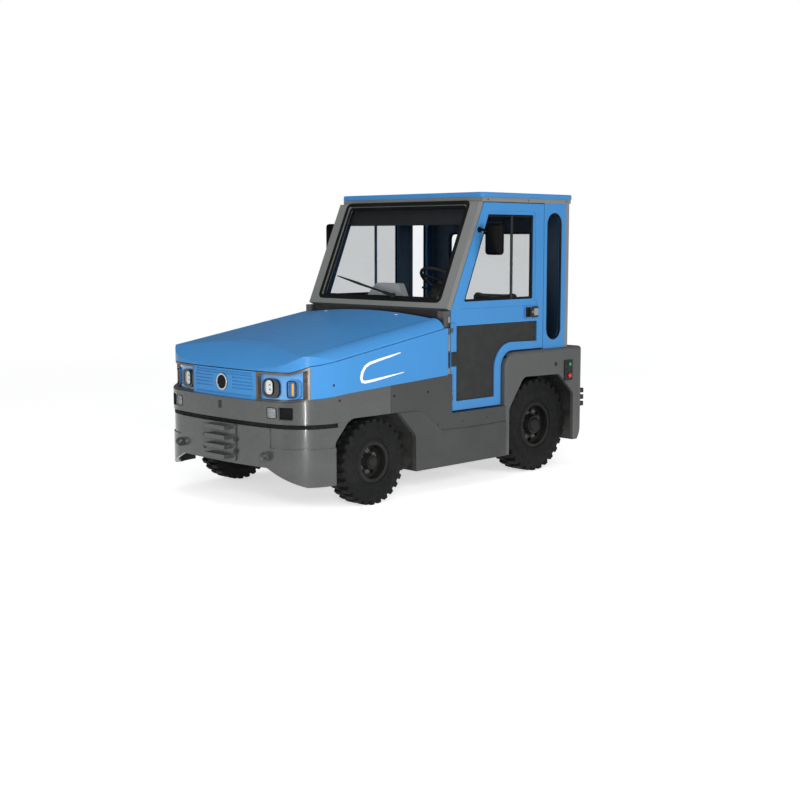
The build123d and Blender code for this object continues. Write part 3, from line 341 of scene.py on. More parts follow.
def make_finishes(paints):
    """Every finish of the tug, from the paint settings."""
    blue, grey, plastic = linear(paints.blue), linear(paints.casting), linear(paints.plastic)
    painted("body_blue", blue, (0.28, 0.36), coat=0.03, wear=0.1, shine=0.08)
    # Doors and side panels take a near-black copy of the blue on their faces inside the cab, as painted shade
    painted("door_blue", blue, (0.28, 0.36), coat=0.05, wear=0.1, dust=0.1, shine=0.16,
            inner=(cab_inside_shade, shade(blue, 0.10)))
    painted("casting_grey", grey, (0.20, 0.30), coat=0.3, grain=0.0004, wear=0.3, dust=0.15)
    # Side skirts: a darker copy of the casting grey, painted shade low on the body
    painted("skirt_grey_shaded", shade(grey, 0.74), (0.36, 0.5), grain=0.0006, wear=0.3, dust=0.1)
    painted("fender_grey", shade(grey, 1.42), (0.4, 0.55), grain=0.0006, wear=0.3, dust=0.35)
    painted("frame_grey", linear(paints.frame_grey), (0.5, 0.65), grain=0.001, wear=0.2)
    painted("door_grey", linear(paints.door_grey), (0.5, 0.7), grain=0.0012, grain_size=500, wear=0.15,
            dust=0.15)
    # The rear wall takes a near-black copy of the blue on its faces inside the cab, as painted shade
    painted("pillar_grey", linear(paints.pillar_grey), (0.35, 0.5), grain=0.0005, wear=0.15,
            inner=(rear_face_inside_shade, shade(blue, 0.10)))
    painted("header_grey", linear(paints.header_grey), (0.4, 0.5), grain=0.0006, wear=0.15)
    # Pale hinge covers: their light grey is partly a painted highlight on the hinge post
    painted("hinge_highlight_grey", linear((0.50, 0.49, 0.48)), (0.3, 0.4), grain=0.0004, wear=0.2)
    painted("pod_paint", shade(plastic, 0.6), (0.15, 0.25), coat=0.5,
            inner=(outer_pods, shade(blue, 0.9)))
    painted("amber_strip", linear((0.93, 0.62, 0.20)), (0.2, 0.3), coat=0.4)
    painted("chassis_black", linear(paints.chassis), (0.4, 0.6), grain=0.0006, wear=0.5, dust=0.6)
    painted("rim_black", shade(plastic, 0.6), (0.45, 0.6), wear=0.12, dust=0.12, shine=0.15)
    painted("black_plastic", plastic, (0.45, 0.6), grain=0.0006, wear=0.15, dust=0.15)
    # Lamp bowls painted white: a painted reflection standing in for the bright chrome reflector
    painted("bowl_white_reflection", linear((0.90, 0.91, 0.91)), (0.2, 0.3), shine=0.5)
    painted("nut_grey", linear((0.30, 0.305, 0.305)), (0.3, 0.45), wear=0.3, dust=0.1, shine=0.4)
    painted("roof_blue", blue, (0.44, 0.52), grain=0.04, wear=0.1, dust=0.15, shine=0.12)
    painted("gloss_black", shade(plastic, 0.12), (0.35, 0.45), wear=0.03, shine=0.06)
    painted("liner_plastic", shade(plastic, 0.7), (0.6, 0.75), grain=0.001, wear=0.1, dust=0.5)
    painted("dash_grey", linear(paints.dash_grey), (0.5, 0.65), grain=0.0008, grain_size=700, wear=0.1)
    # Headlamp recess: the body blue made lighter, a painted highlight where light falls into the recess
    painted("lamp_blue_lit", shade(blue, 1.25), (0.08, 0.14), coat=1.0)
    painted("trim_bronze", linear((0.36, 0.33, 0.30)), (0.25, 0.35), wear=0.3, metallic=0.4)
    painted("battery_case", linear((0.16, 0.16, 0.18)), (0.45, 0.6), grain=0.0006, wear=0.2, dust=0.2)
    painted("button_red", linear((0.72, 0.10, 0.10)), (0.25, 0.35), coat=0.3, wear=0.1)
    painted("button_green", linear((0.10, 0.55, 0.30)), (0.25, 0.35), coat=0.3, wear=0.1)
    painted("dial_pale", linear((0.72, 0.76, 0.80)), (0.3, 0.4))
    painted("dial_dark", linear((0.05, 0.05, 0.06)), (0.2, 0.3))
    painted("stripe_white", linear((0.88, 0.89, 0.90)), (0.3, 0.4))
    painted("paddle_grey", linear((0.52, 0.53, 0.53)), (0.35, 0.45), wear=0.2)
    # Near-black lining: a headliner colour that also stands in as painted shade under the cab roof
    painted("lining_dark_and_shade", linear((0.09, 0.10, 0.11)), (0.75, 0.9))
    painted("bolt_black", linear((0.14, 0.14, 0.14)), (0.35, 0.5), wear=0.4, dust=0.1)
    painted("battery_cap", linear((0.60, 0.52, 0.16)), (0.4, 0.5), wear=0.1, dust=0.1)
    painted("bulb_white", linear((0.90, 0.90, 0.86)), (0.15, 0.25), coat=0.6)
    rubber("tyre_rubber", linear(paints.rubber), 0.06)
    rubber("seal_rubber", shade(linear(paints.rubber), 0.5), 0.04)
    metal("bright_metal", linear((0.78, 0.78, 0.77)), 0.2, (1, 1, 6))
    metal("bare_steel", linear((0.58, 0.58, 0.57)), 0.35, (1, 8, 1))
    metal("mirror_metal", linear((0.85, 0.87, 0.88)), 0.1, (1, 1, 1))
    clear, dark = linear(paints.glass), linear((0.10, 0.11, 0.12))
    glassy("cab_glass", shade(clear, 1.01), dark, 0.0)
    glassy("door_glass", shade(clear, 0.82), dark, 0.03)
    glassy("clear_lens", (0.92, 0.94, 0.95, 1), linear((0.80, 0.82, 0.84)), 0.22, ribs=70)
    glassy("turn_lens", (0.80, 0.90, 0.96, 1), linear((0.55, 0.62, 0.66)), 0.12, ribs=55)
    glassy("red_lens", linear((0.80, 0.12, 0.10)), linear((0.55, 0.04, 0.04)), 0.75, ribs=60)
    woven("seat_cloth", linear(paints.cloth))


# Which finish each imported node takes
NODE_FINISH = {
    "body_blue": ("hood_lid", "hood_surround"),
    "roof_blue": ("roof_panel",),
    "door_blue": ("door_left", "door_right", "side_panels"),
    "casting_grey": ("nose_casting", "front_hitch", "door_posts"),
    "skirt_grey_shaded": ("side_skirts",),
    "header_grey": ("roof_header",),
    "fender_grey": ("rear_body",),
    "frame_grey": ("windscreen_frame",),
    "door_grey": ("door_panel_left", "door_panel_right"),
    "pillar_grey": ("rear_wall",),
    "chassis_black": ("chassis", "front_axle", "drive_axle", "knuckle_left", "knuckle_right", "tie_rod",
                      "rear_hitch", "seat_base", "pedals", "cab_tub"),
    "rim_black": ("front_rim_left", "front_rim_right", "rear_rim_left", "rear_rim_right"),
    "pod_paint": ("lamp_pods",),
    "black_plastic": ("wiper", "door_mirror_left", "door_mirror_right", "control_panel",
                      "steering_column", "steering_wheel", "rear_buffers"),
    "liner_plastic": ("wheel_liners",),
    "dash_grey": ("dash",),
    "lamp_blue_lit": ("headlamps",),
    "trim_bronze": ("lamp_bezels",),
    "battery_case": ("battery",),
    "tyre_rubber": ("front_tyre_left", "front_tyre_right", "rear_tyre_left", "rear_tyre_right"),
    "bright_metal": ("nose_badge",),
    "cab_glass": ("fixed_glass",),
    "door_glass": ("door_glass_left", "door_glass_right"),
    "clear_lens": ("lamp_lenses",),
    "turn_lens": ("turn_lenses",),
    "red_lens": ("tail_lamps",),
    "seat_cloth": ("seat_cushion", "seat_back"),
}


# How far a plate's foot sinks into what it lies on, and the radius that stands for a point
SEAT, POINT = 0.0004, 1e-5


def turns(count):
    """Equal turns round a circle, in radians."""
    return [2 * math.pi * k / count for k in range(count)]


class Making:
    """The mesh of one added piece while it grows, in the frame's metres."""

    def __init__(self):
        self.mesh = bmesh.new()

    def face(self, corners):
        return self.mesh.faces.new([self.mesh.verts.new(c) for c in corners])

    def rows(self, rings, closed_round=True, closed_along=False, capped=False):
        """Skins a list of equally long rings of points, and may close both ends."""
        made = [[self.mesh.verts.new(p) for p in ring] for ring in rings]
        count, last = len(made[0]), len(made) if closed_along else len(made) - 1
        for i in range(last):
            here, there = made[i], made[(i + 1) % len(made)]
            for k in range(count if closed_round else count - 1):
                m = (k + 1) % count
                self.mesh.faces.new((here[k], here[m], there[m], there[k]))
        if capped:
            self.mesh.faces.new(made[0][::-1])
            self.mesh.faces.new(made[-1])
        return made

    def lathe(self, centre, axis, profile, sides=32):
        """Turns rows of radius and height about an axis through the centre."""
        axis = Vector(axis).normalized()
        first = axis.orthogonal().normalized()
        second = axis.cross(first)
        rings = []
        for radius, height in profile:
            base = Vector(centre) + axis * height
            rings.append([base + (first * math.cos(a) + second * math.sin(a)) * max(radius, POINT)
                          for a in turns(sides)])
        self.rows(rings, capped=profile[0] != profile[-1])

    def tube(self, points, radius, sides=12, closed=False):
        """A round bar along a line of points."""
        points = [Vector(p) for p in points]
        rings, side = [], None
        for i, p in enumerate(points):
            before = points[i - 1] if i or closed else p
            after = points[(i + 1) % len(points)] if i < len(points) - 1 or closed else p
            ahead = (after - before).normalized()
            side = ahead.orthogonal() if side is None else side - ahead * side.dot(ahead)
            side.normalize()
            up = ahead.cross(side)
            rings.append([p + (side * math.cos(a) + up * math.sin(a)) * radius for a in turns(sides)])
        self.rows(rings, closed_along=closed, capped=not closed)

    def slab(self, outline, place, low, high, bevel=0.0):
        """A plate with the outline in a plane (origin, u, v), between two heights, with a bevelled top."""
        origin, u, v = place
        up = u.cross(v)
        levels = [(0.0, low), (0.0, high)]
        if bevel:
            levels = [(0.0, low), (0.0, high - bevel), (bevel * 0.3, high - bevel * 0.3), (bevel, high)]
        self.rows([[origin + u * a + v * b + up * height for a, b in inset(outline, shrink)]
                   for shrink, height in levels], capped=True)

    def collar(self, outline, place, width, low, high, bevel=0.002):
        """A flat ring inside an outline, such as a window seal, with bevelled upper edges."""
        origin, u, v = place
        up = u.cross(v)
        inner = inset(outline, width)
        edge = high - bevel
        rings = []
        for share, height in ((0, low), (0, edge), (0.12, high), (0.88, high), (1, edge), (1, low)):
            rings.append([origin + up * height + u * (a + (c - a) * share) + v * (b + (d - b) * share)
                          for (a, b), (c, d) in zip(outline, inner)])
        self.rows(rings, closed_along=True)

    def bar(self, origin, along, across, sections):
        """A bar of chamfered rectangles: rows of distance, sideways place, half width, bottom and top."""
        up = along.cross(across)
        rings = []
        for far, aside, half, low, high in sections:
            cut = min(half, (high - low) / 2) * 0.35
            corners = ((-half, low + cut), (cut - half, low), (half - cut, low), (half, low + cut),
                       (half, high - cut), (half - cut, high), (cut - half, high), (-half, high - cut))
            rings.append([origin + along * far + across * (aside + a) + up * b for a, b in corners])
        self.rows(rings, capped=True)

    def side_plate(self, side, y, x, z, wide, high, corner, thick, bevel=0.001):
        """A rounded plate lying on a side of the tug, centred at X, Z."""
        outline = rounded(rectangle(wide, high, -x * side, z), corner)
        self.slab(outline, side_plane(side, y), -SEAT, thick, bevel)

    def bolt(self, place, axis, radius, washer=True):
        """A six-sided head on a washer."""
        axis = Vector(axis).normalized()
        if washer:
            wide = radius * 1.5
            self.lathe(place, axis, ((wide, -0.001), (wide, 0.001), (radius * 1.35, 0.0018), (0, 0.0018)), 20)
        tall = radius * 0.75
        self.lathe(place, axis, ((radius, 0), (radius, radius * 0.6), (radius * 0.86, tall), (0, tall)), 6)

    def keep(self, name, body, finish="black_plastic", slot="black_plastic", smooth=35):
        """Turns the mesh into a piece of the tug that moves with a body."""
        bmesh.ops.remove_doubles(self.mesh, verts=self.mesh.verts, dist=1e-6)
        bmesh.ops.recalc_face_normals(self.mesh, faces=self.mesh.faces)
        data = bpy.data.meshes.new(name)
        self.mesh.to_mesh(data)
        self.mesh.free()
        data.shade_smooth()
        data.set_sharp_from_angle(angle=math.radians(smooth))
        piece = bpy.data.objects.new(name, data)
        bpy.context.scene.collection.objects.link(piece)
        data.materials.append(finishes[finish])
        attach(piece, body)
        return piece


def inset(outline, distance):
    """An outline of many points moved inwards, for one that runs counter-clockwise."""
    if not distance:
        return list(outline)
    area = sum(a[0] * b[1] - b[0] * a[1] for a, b in zip(outline, outline[1:] + outline[:1]))
    turn = 1 if area > 0 else -1
    moved, count = [], len(outline)
    for i, (x, y) in enumerate(outline):
        (px, py), (nx, ny) = outline[i - 1], outline[(i + 1) % count]
        one, two = Vector((x - px, y - py)).normalized(), Vector((nx - x, ny - y)).normalized()
        n1, n2 = Vector((-one.y, one.x)) * turn, Vector((-two.y, two.x)) * turn
        mid = n1 + n2
        share = 2 * distance / max(mid.length_squared, 0.5)
        moved.append((x + mid.x * share, y + mid.y * share))
    return moved


def rounded(points, radius, steps=6):
    """The outline through corner points with each corner rounded."""
    made, count = [], len(points)
    for i, corner in enumerate(points):
        here = Vector(corner)
        back, ahead = (Vector(points[i - 1]) - here), (Vector(points[(i + 1) % count]) - here)
        angle = back.angle(ahead)
        reach = min(radius / math.tan(angle / 2), back.length * 0.49, ahead.length * 0.49)
        start, end = here + back.normalized() * reach, here + ahead.normalized() * reach
        for k in range(steps + 1):
            t = k / steps
            point = start.lerp(here, t).lerp(here.lerp(end, t), t)
            made.append((point.x, point.y))
    return made


def rectangle(width, height, x=0.0, y=0.0):
    """The corners of a rectangle about a point, counter-clockwise."""
    return [(x - width / 2, y - height / 2), (x + width / 2, y - height / 2), (x + width / 2, y + height / 2),
            (x - width / 2, y + height / 2)]


def side_plane(side, y):
    """The plane |Y| = y seen from outside; heights over it point away from the cab."""
    if side > 0:
        return Vector((0, y, 0)), Vector((-1, 0, 0)), Vector((0, 0, 1))
    return Vector((0, -y, 0)), Vector((1, 0, 0)), Vector((0, 0, 1))


def side_outline(side, points):
    """X, Z points as the outline in that plane."""
    return [(-x * side, z) for x, z in points]


def level_plane(z):
    """The plane at height z seen from above."""
    return Vector((0, 0, z)), X, Y


def facing(spot, out):
    """The upright plane at a spot, seen against its way out."""
    return spot, Z.cross(out).normalized(), Z


# The nose seen from above, as in the part: a bow, rounded corners and straight sides
NOSE_BOW, NOSE_BOW_X, NOSE_ROUND, SIDE_Y, SETBACK = 3.787, -2.327, 0.290, 0.740, 0.022


def nose_point(y, z, behind=0.0, inset_by=0.0):
    """A point on the nose and the way out of it there."""
    side = 1 if y >= 0 else -1
    centre_y = SIDE_Y - NOSE_ROUND
    centre_x = NOSE_BOW_X + math.sqrt((NOSE_BOW - NOSE_ROUND) ** 2 - centre_y ** 2)
    start = centre_y + NOSE_ROUND * centre_y / (NOSE_BOW - NOSE_ROUND)
    if abs(y) < start:
        out = Vector((math.sqrt(NOSE_BOW ** 2 - y * y), y, 0)) / NOSE_BOW
        base = Vector((NOSE_BOW_X, 0, z)) + out * (NOSE_BOW - inset_by)
    else:
        lift = min(0.9999, (abs(y) - centre_y) / NOSE_ROUND)
        out = Vector((math.sqrt(1 - lift * lift), side * lift, 0))
        base = Vector((centre_x, side * centre_y, z)) + out * (NOSE_ROUND - inset_by)
    return base - X * behind, out


# Screen plane of the cab, as in the part
SCREEN_FOOT = Vector((0.037, 0, 1.215))
SCREEN_UP = Vector((-0.4087, 0, 0.9127)).normalized()
SCREEN_OUT = Vector((0.9127, 0, 0.4087)).normalized()


def screen_plane():
    """The windscreen's plane, from its foot upwards."""
    return SCREEN_FOOT, Y.copy(), SCREEN_UP.copy()


class TUG_OT_finishes(Operator):
    """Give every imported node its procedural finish"""
    bl_idname = "tug.finishes"
    bl_label = "Finishes"

    def execute(self, context):
        make_finishes(context.scene.tug_paints)
        for finish, names in NODE_FINISH.items():
            for name in names:
                node = nodes[name]
                node.data.materials.clear()
                node.data.materials.append(finishes[finish])
        bare = set(nodes) - {n for names in NODE_FINISH.values() for n in names}
        if bare:
            raise RuntimeError(f"nodes without a finish: {sorted(bare)}")
        return {"FINISHED"}


class TUG_OT_seals(Operator):
    """Set the windows into their rubber seals"""
    bl_idname = "tug.seals"
    bl_label = "Window Seals"

    def execute(self, context):
        width = context.scene.tug_sizes.seal_width
        window = ((-0.351, 1.868), (-0.843, 1.868), (-0.843, 1.272), (-0.099, 1.272))
        for name, side in SIDES:
            door = Making()
            outline = rounded(side_outline(side, window), 0.012)
            door.collar(outline, side_plane(side, 0.681), width, 0.0002, 0.009)
            door.keep(f"door_seal_{name}", f"door_{name}", "seal_rubber")
        fixed = Making()
        slot = rounded(rectangle(0.173, 0.926, 0, 1.424), 0.0864, 16)
        for name, side in SIDES:
            origin, u, v = side_plane(side, 0.684)
            fixed.collar(slot, (origin - X * 1.085, u, v), width * 0.9, 0.0002, 0.0125)
        # Lower and upper edge of the screen, measured up its plane
        glass_low, glass_high = 0.066, 0.7705
        tall, middle = glass_high - glass_low, (glass_high + glass_low) / 2
        screen = rounded(rectangle(1.18, tall, 0, middle), 0.03, 8)
        fixed.collar(screen, screen_plane(), width * 1.1, 0.0202, 0.028)
        band = rounded(rectangle(1.24, tall + 0.058, 0, middle + 0.001), 0.05, 8)
        fixed.collar(band, screen_plane(), 0.030, 0.0398, 0.0425)
        rear = rounded(rectangle(1.0, 0.55, 0, 1.475), 0.06, 10)
        fixed.collar(rear, (Vector((-1.260, 0, 0)), -Y, Z), width, 0.0002, 0.0125)
        fixed.keep("window_seals", "tractor", "seal_rubber")
        return {"FINISHED"}


class TUG_OT_seat(Operator):
    """Swell the seat's cushion and back and cover them with cloth"""
    bl_idname = "tug.seat"
    bl_label = "Seat"

    def execute(self, context):
        sizes = context.scene.tug_sizes
        cushion = pad("seat_cushion_pad", rectangle(0.438, 0.448), 0.060, 0.062, 0.014)
        cushion.location = (-0.835, 0.180, 0.9405)
        back = pad("seat_back_pad", rectangle(0.262, 0.438), 0.050, 0.045, 0.010)
        lean = math.atan2(0.034, 0.274)
        back.rotation_euler = (0, -math.pi / 2 - lean, 0)
        back.location = (-0.995, 0.180, 1.172)
        for piece, node in ((cushion, "seat_cushion"), (back, "seat_back")):
            bpy.context.view_layer.update()
            piece.data.transform(piece.matrix_world)
            piece.matrix_world = Matrix.Identity(4)
            swell(piece, sizes.cushion_pressure, sizes.cushion_rise)
            seat_box(piece, node)
            piece.data.materials.append(finishes["seat_cloth"])
            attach(piece, "tractor")
            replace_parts(piece, node)
        return {"FINISHED"}


def pad(name, outline, corner, thickness, rise):
    """A cushion's form lying on its back at the origin: straight sides, crowned top."""
    making = Making()
    base = rounded(outline, corner, steps=8)
    rings = []
    for shrink, height in ((0.02, 0.0), (0.0, 0.012), (0.0, thickness * 0.7), (0.008, thickness * 0.95)):
        rings.append([(a, b, height) for a, b in inset(base, shrink)])
    for k in range(1, 12):
        share = k / 12
        rings.append([(a * (1 - share), b * (1 - share), thickness + rise * (1 - (1 - share) ** 4))
                      for a, b in inset(base, 0.012)])
    making.rows(rings, capped=True)
    bmesh.ops.recalc_face_normals(making.mesh, faces=making.mesh.faces)
    data = bpy.data.meshes.new(name)
    making.mesh.to_mesh(data)
    making.mesh.free()
    piece = bpy.data.objects.new(name, data)
    bpy.context.scene.collection.objects.link(piece)
    return piece


def apply_modifiers(piece):
    """Bakes the piece's modifiers into its mesh."""
    ready = piece.evaluated_get(bpy.context.evaluated_depsgraph_get())
    data = bpy.data.meshes.new_from_object(ready)
    piece.modifiers.clear()
    piece.data = data


def swell(piece, pressure, most):
    """Remeshes a pad evenly and lets cloth under pressure fill it, no point moving further than most."""
    remesh = piece.modifiers.new("remesh", "REMESH")
    remesh.mode, remesh.voxel_size = "VOXEL", 0.006
    apply_modifiers(piece)
    start = [v.co.copy() for v in piece.data.vertices]
    cloth = piece.modifiers.new("cloth", "CLOTH")
    cloth.settings.use_pressure = True
    cloth.settings.uniform_pressure_force = pressure
    cloth.settings.effector_weights.gravity = 0
    cloth.settings.quality = 5
    for step in range(1, 21):
        bpy.context.scene.frame_set(step)
    apply_modifiers(piece)
    bpy.context.scene.frame_set(1)
    for vertex, origin in zip(piece.data.vertices, start):
        move = vertex.co - origin
        if move.length > most:
            vertex.co = origin + move.normalized() * most
    subdivide = piece.modifiers.new("smooth", "SUBSURF")
    subdivide.levels = subdivide.render_levels = 1
    apply_modifiers(piece)
    piece.data.shade_smooth()


def seat_box(piece, node):
    """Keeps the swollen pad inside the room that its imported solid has."""
    low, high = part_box(node)
    for vertex in piece.data.vertices:
        for axis in range(3):
            vertex.co[axis] = min(max(vertex.co[axis], low[axis] + 0.001), high[axis] - 0.001)


# Rows of axle name, its X, the wheels' |Y| and the tyre's radius, which is the axle's height
WHEELS = (("front", 0.810, 0.670, 0.280), ("rear", -0.925, 0.583, 0.340))


class TUG_OT_tyres(Operator):
    """Mould the tyres with staggered lugs and ribbed side walls"""
    bl_idname = "tug.tyres"
    bl_label = "Tyres"

    def execute(self, context):
        lugs = context.scene.tug_sizes.lug_rows
        for name, side in SIDES:
            for (end, x, y, radius), (width, bead) in zip(WHEELS, ((0.170, 0.1343), (0.195, 0.1663))):
                making = Making()
                mould_tyre(making, Vector((x, side * y, radius)), radius, width, bead, lugs)
                tyre = making.keep(f"{end}_tread_{name}", f"{end}_wheel_{name}", "tyre_rubber", "tyre",
                                   smooth=32)
                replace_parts(tyre, f"{end}_tyre_{name}")
        return {"FINISHED"}


def mould_tyre(making, centre, radius, width, bead, lugs):
    """The tyre as one closed skin, its tread rising into two staggered rows of slanted lugs."""
    half = width / 2
    deep = 0.018
    wall = radius - bead
    # Rows of offset from the middle, radius without lugs and how far lugs rise there
    shape = [(-half + 0.016, bead, 0), (-half + 0.006, bead + 0.004, 0), (-half + 0.002, bead + 0.014, 0),
             (-half + 0.007, bead + 0.020, 0), (-half + 0.001, bead + 0.45 * wall, 0),
             (-half + 0.0005, bead + 0.52 * wall, 0), (-half + 0.003, bead + 0.60 * wall, 0),
             (-half + 0.0045, bead + 0.62 * wall, 0), (-half + 0.006, radius - 0.040, 0.1),
             (-half + 0.008, radius - 0.034, 0.75), (-half + 0.012, radius - 0.024, 1),
             (-half + 0.022, radius - 0.020, 1), (-half + 0.032, radius - deep, 1),
             (-0.007, radius - deep, 1), (-0.0045, radius - deep + 0.006, 0.6), (-0.002, radius - 0.002, 0)]
    shape += [(-off, r, rise) for off, r, rise in shape[::-1]]
    steps, slant = 12, 0.35
    count = lugs * steps
    columns = []
    for k in range(count):
        ring = []
        for off, base, rise in shape:
            row = 0 if off < 0 else 1
            turn = (k / steps + 0.5 * row) / lugs * 2 * math.pi
            turn += slant * (abs(off) / half) * (math.pi / lugs)
            place = (k % steps) / steps
            face = min(1.0, max(0.0, (0.27 - abs(place - 0.5)) / 0.045 + 0.5))
            outer = radius - 0.0005 * (abs(off) / half) ** 2
            if abs(off) > half - 0.03:
                outer = min(outer, base + deep + 0.004)
            reach = base + rise * face * (outer - base)
            ring.append(centre + Vector((math.cos(turn) * reach, off, math.sin(turn) * reach)))
        columns.append(ring)
    making.rows(columns, closed_along=True)


class TUG_OT_wheel_fittings(Operator):
    """Bolt the wheels on: nuts, hub caps, valves and bead rings"""
    bl_idname = "tug.wheel_fittings"
    bl_label = "Wheel Fittings"

    def execute(self, context):
        # Rows of disc face, hub end, nut circle, nuts, cap radius, rim radius and rim edge
        forms = ((0.012, 0.062, 0.068, 6, 0.036, 0.118, 0.071),
                 (0.032, 0.075, 0.098, 8, 0.050, 0.150, 0.0835))
        for (end, x, y, z), (disc, hub, circle, nuts, cap, rim, edge) in zip(WHEELS, forms):
            for name, side in SIDES:
                out = Y * side
                middle = Vector((x, side * y, z))
                dark, bright = Making(), Making()
                for k in range(nuts):
                    turn = 2 * math.pi * (k + 0.5) / nuts
                    spot = middle + out * disc + Vector((math.cos(turn), 0, math.sin(turn))) * circle
                    bright.bolt(spot, out, 0.0105)
                    bright.lathe(spot, out, ((0.005, 0.006), (0.005, 0.016), (0.004, 0.018), (0, 0.018)), 12)
                dark.lathe(middle + out * hub, out, (
                    (cap * 0.98, -0.012), (cap, -0.006), (cap, 0.002), (cap * 0.93, 0.008),
                    (cap * 0.72, 0.013), (cap * 0.66, 0.0105), (cap * 0.3, 0.0115), (0, 0.012)), 40)
                dark.lathe(middle + out * (edge - 0.012), out, (
                    (rim - 0.004, 0), (rim + 0.004, 0.006), (rim + 0.013, 0.012), (rim + 0.0165, 0.0128),
                    (rim + 0.0168, 0.0105), (rim + 0.008, 0.004), (rim - 0.004, 0)), 64)
                stem = middle + out * (disc + 0.01) + Z * (rim - 0.020)
                valve = (stem - out * 0.004, stem + out * 0.014, stem + out * 0.028 - Z * 0.004)
                dark.tube(valve, 0.0038, 10)
                bright.keep(f"{end}_hub_nuts_{name}", f"{end}_wheel_{name}", "nut_grey", "light_steel")
                dark.keep(f"{end}_rim_edge_{name}", f"{end}_wheel_{name}", "rim_black", "black_steel")
        return {"FINISHED"}


class TUG_OT_lamps(Operator):
    """Put bulbs, bowls and frames into the lamps"""
    bl_idname = "tug.lamps"
    bl_label = "Lamps"

    def execute(self, context):
        bowls, rims, bulbs = Making(), Making(), Making()
        for side in (1, -1):
            spot, out = nose_point(side * 0.420, 0.783, SETBACK, 0.021)
            # White bowl behind the bulb, its white a painted reflection of the lamp's reflector
            bowl = rounded(rectangle(0.066, 0.088), 0.030, 8)
            bowls.collar(bowl, facing(spot, out), 0.024, -0.002, 0.0005, 0.0004)
            bulbs.lathe(spot, out, ((0.011, -0.002), (0.011, 0.001), (0.006, 0.003), (0, 0.0035)), 24)
            # Frames round the headlamp's lens, the turn lens and the marker lamp
            place = facing(*nose_point(side * 0.420, 0.783, SETBACK, 0.014))
            rims.collar(rounded(rectangle(0.080, 0.102), 0.036, 8), place, 0.0045, 0.0, 0.005, 0.001)
            place = facing(*nose_point(side * 0.592, 0.778, SETBACK, 0.018))
            rims.collar(rounded(rectangle(0.062, 0.108), 0.022, 8), place, 0.0045, 0.0, 0.0055, 0.001)
            place = facing(*nose_point(side * 0.476, 0.629))
            rims.collar(rounded(rectangle(0.080, 0.070), 0.012, 6), place, 0.004, -0.001, 0.002, 0.001)
        bowls.keep("lamp_bowls", "tractor", "bowl_white_reflection", "bright_trim")
        bulbs.keep("lamp_bulbs", "tractor", "bulb_white", "lens")
        rims.keep("lamp_rims", "tractor", "seal_rubber")
        return {"FINISHED"}


def touch(names, start, way):
    """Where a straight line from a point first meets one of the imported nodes, and the way out of it there."""
    best = None
    for name in names:
        node = nodes[name]
        back = node.matrix_world.inverted()
        hit, spot, normal, _ = node.ray_cast(back @ Vector(start), back.to_3x3() @ Vector(way))
        if hit:
            spot, normal = node.matrix_world @ spot, (node.matrix_world.to_3x3() @ normal).normalized()
            if best is None or (spot - Vector(start)).length < (best[0] - Vector(start)).length:
                best = (spot, normal)
    if best is None:
        raise RuntimeError(f"nothing of {names} lies {tuple(way)} of {tuple(start)}")
    return best


class TUG_OT_wiper(Operator):
    """Build the wiper from its pivot cap, sprung arm and blade"""
    bl_idname = "tug.wiper"
    bl_label = "Wiper"

    def execute(self, context):
        along = (SCREEN_UP * 0.2147 - Y * 0.9767).normalized()
        across = SCREEN_OUT.cross(along)
        pivot = SCREEN_FOOT + Y * 0.160 + SCREEN_UP * 0.076
        arm, blade = Making(), Making()
        arm.lathe(pivot, SCREEN_OUT, ((0.021, 0.041), (0.021, 0.050), (0.018, 0.056), (0, 0.0562)), 28)
        arm.bar(pivot, along, across, ((-0.012, 0, 0.010, 0.045, 0.054), (0.02, 0, 0.013, 0.045, 0.057),
                                       (0.10, 0, 0.011, 0.045, 0.056), (0.11, 0, 0.0075, 0.046, 0.053),
                                       (0.40, 0, 0.006, 0.044, 0.050), (0.43, 0, 0.006, 0.040, 0.047)))
        arm.bar(pivot, along, across, ((0.150, 0, 0.003, 0.029, 0.036), (0.20, 0, 0.005, 0.029, 0.040),
                                       (0.41, 0, 0.009, 0.029, 0.045), (0.62, 0, 0.005, 0.029, 0.040),
                                       (0.668, 0, 0.003, 0.029, 0.036)))
        arm.bolt(pivot + SCREEN_OUT * 0.056, SCREEN_OUT, 0.0065, washer=False)
        blade.bar(pivot, along, across, [(far, 0, 0.0016, 0.0205, 0.0295) for far in (0.154, 0.665)])
        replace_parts(arm.keep("wiper_arm", "wiper"), "wiper")
        blade.keep("wiper_blade", "wiper", "seal_rubber")
        return {"FINISHED"}


class TUG_OT_mirrors(Operator):
    """Shape the door mirrors with bowed backs, glasses and stalks"""
    bl_idname = "tug.mirrors"
    bl_label = "Mirrors"

    def execute(self, context):
        for name, side in SIDES:
            shell, glass = Making(), Making()
            outline = rounded(rectangle(0.144, 0.223, side * 0.809, 1.701), 0.030, 8)
            # Rows of X and how far the outline is drawn in: glass seat, rim and bowed back
            rows = ((-0.2945, 0.0075), (-0.2985, 0.0065), (-0.299, 0.003), (-0.2965, 0.0), (-0.276, 0.0),
                    (-0.266, 0.003), (-0.259, 0.010), (-0.2562, 0.018), (-0.2552, 0.026))
            made = shell.rows([[Vector((x, a, b)) for a, b in inset(outline, drawn)] for x, drawn in rows])
            shell.mesh.faces.new(made[0])
            shell.mesh.faces.new(made[-1][::-1])
            foot = Vector((-0.249, side * 0.6985, 1.761))
            shell.lathe(foot, Y * side, ((0.019, 0), (0.019, 0.006), (0.013, 0.011), (0, 0.0112)), 24)
            shell.tube((foot + Y * side * 0.004, foot + Y * side * 0.036,
                        foot + Vector((-0.006, side * 0.052, -0.004)),
                        foot + Vector((-0.016, side * 0.066, -0.012))), 0.0085, 14)
            glass.slab(inset(outline, 0.009), (Vector((-0.2946, 0, 0)), Y, Z), -0.0022, 0.0, 0.0)
            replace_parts(shell.keep(f"mirror_shell_{name}", f"door_{name}", "gloss_black", "black_plastic"),
                        f"door_mirror_{name}")
            glass.keep(f"mirror_glass_{name}", f"door_{name}", "mirror_metal", "glass")
        return {"FINISHED"}


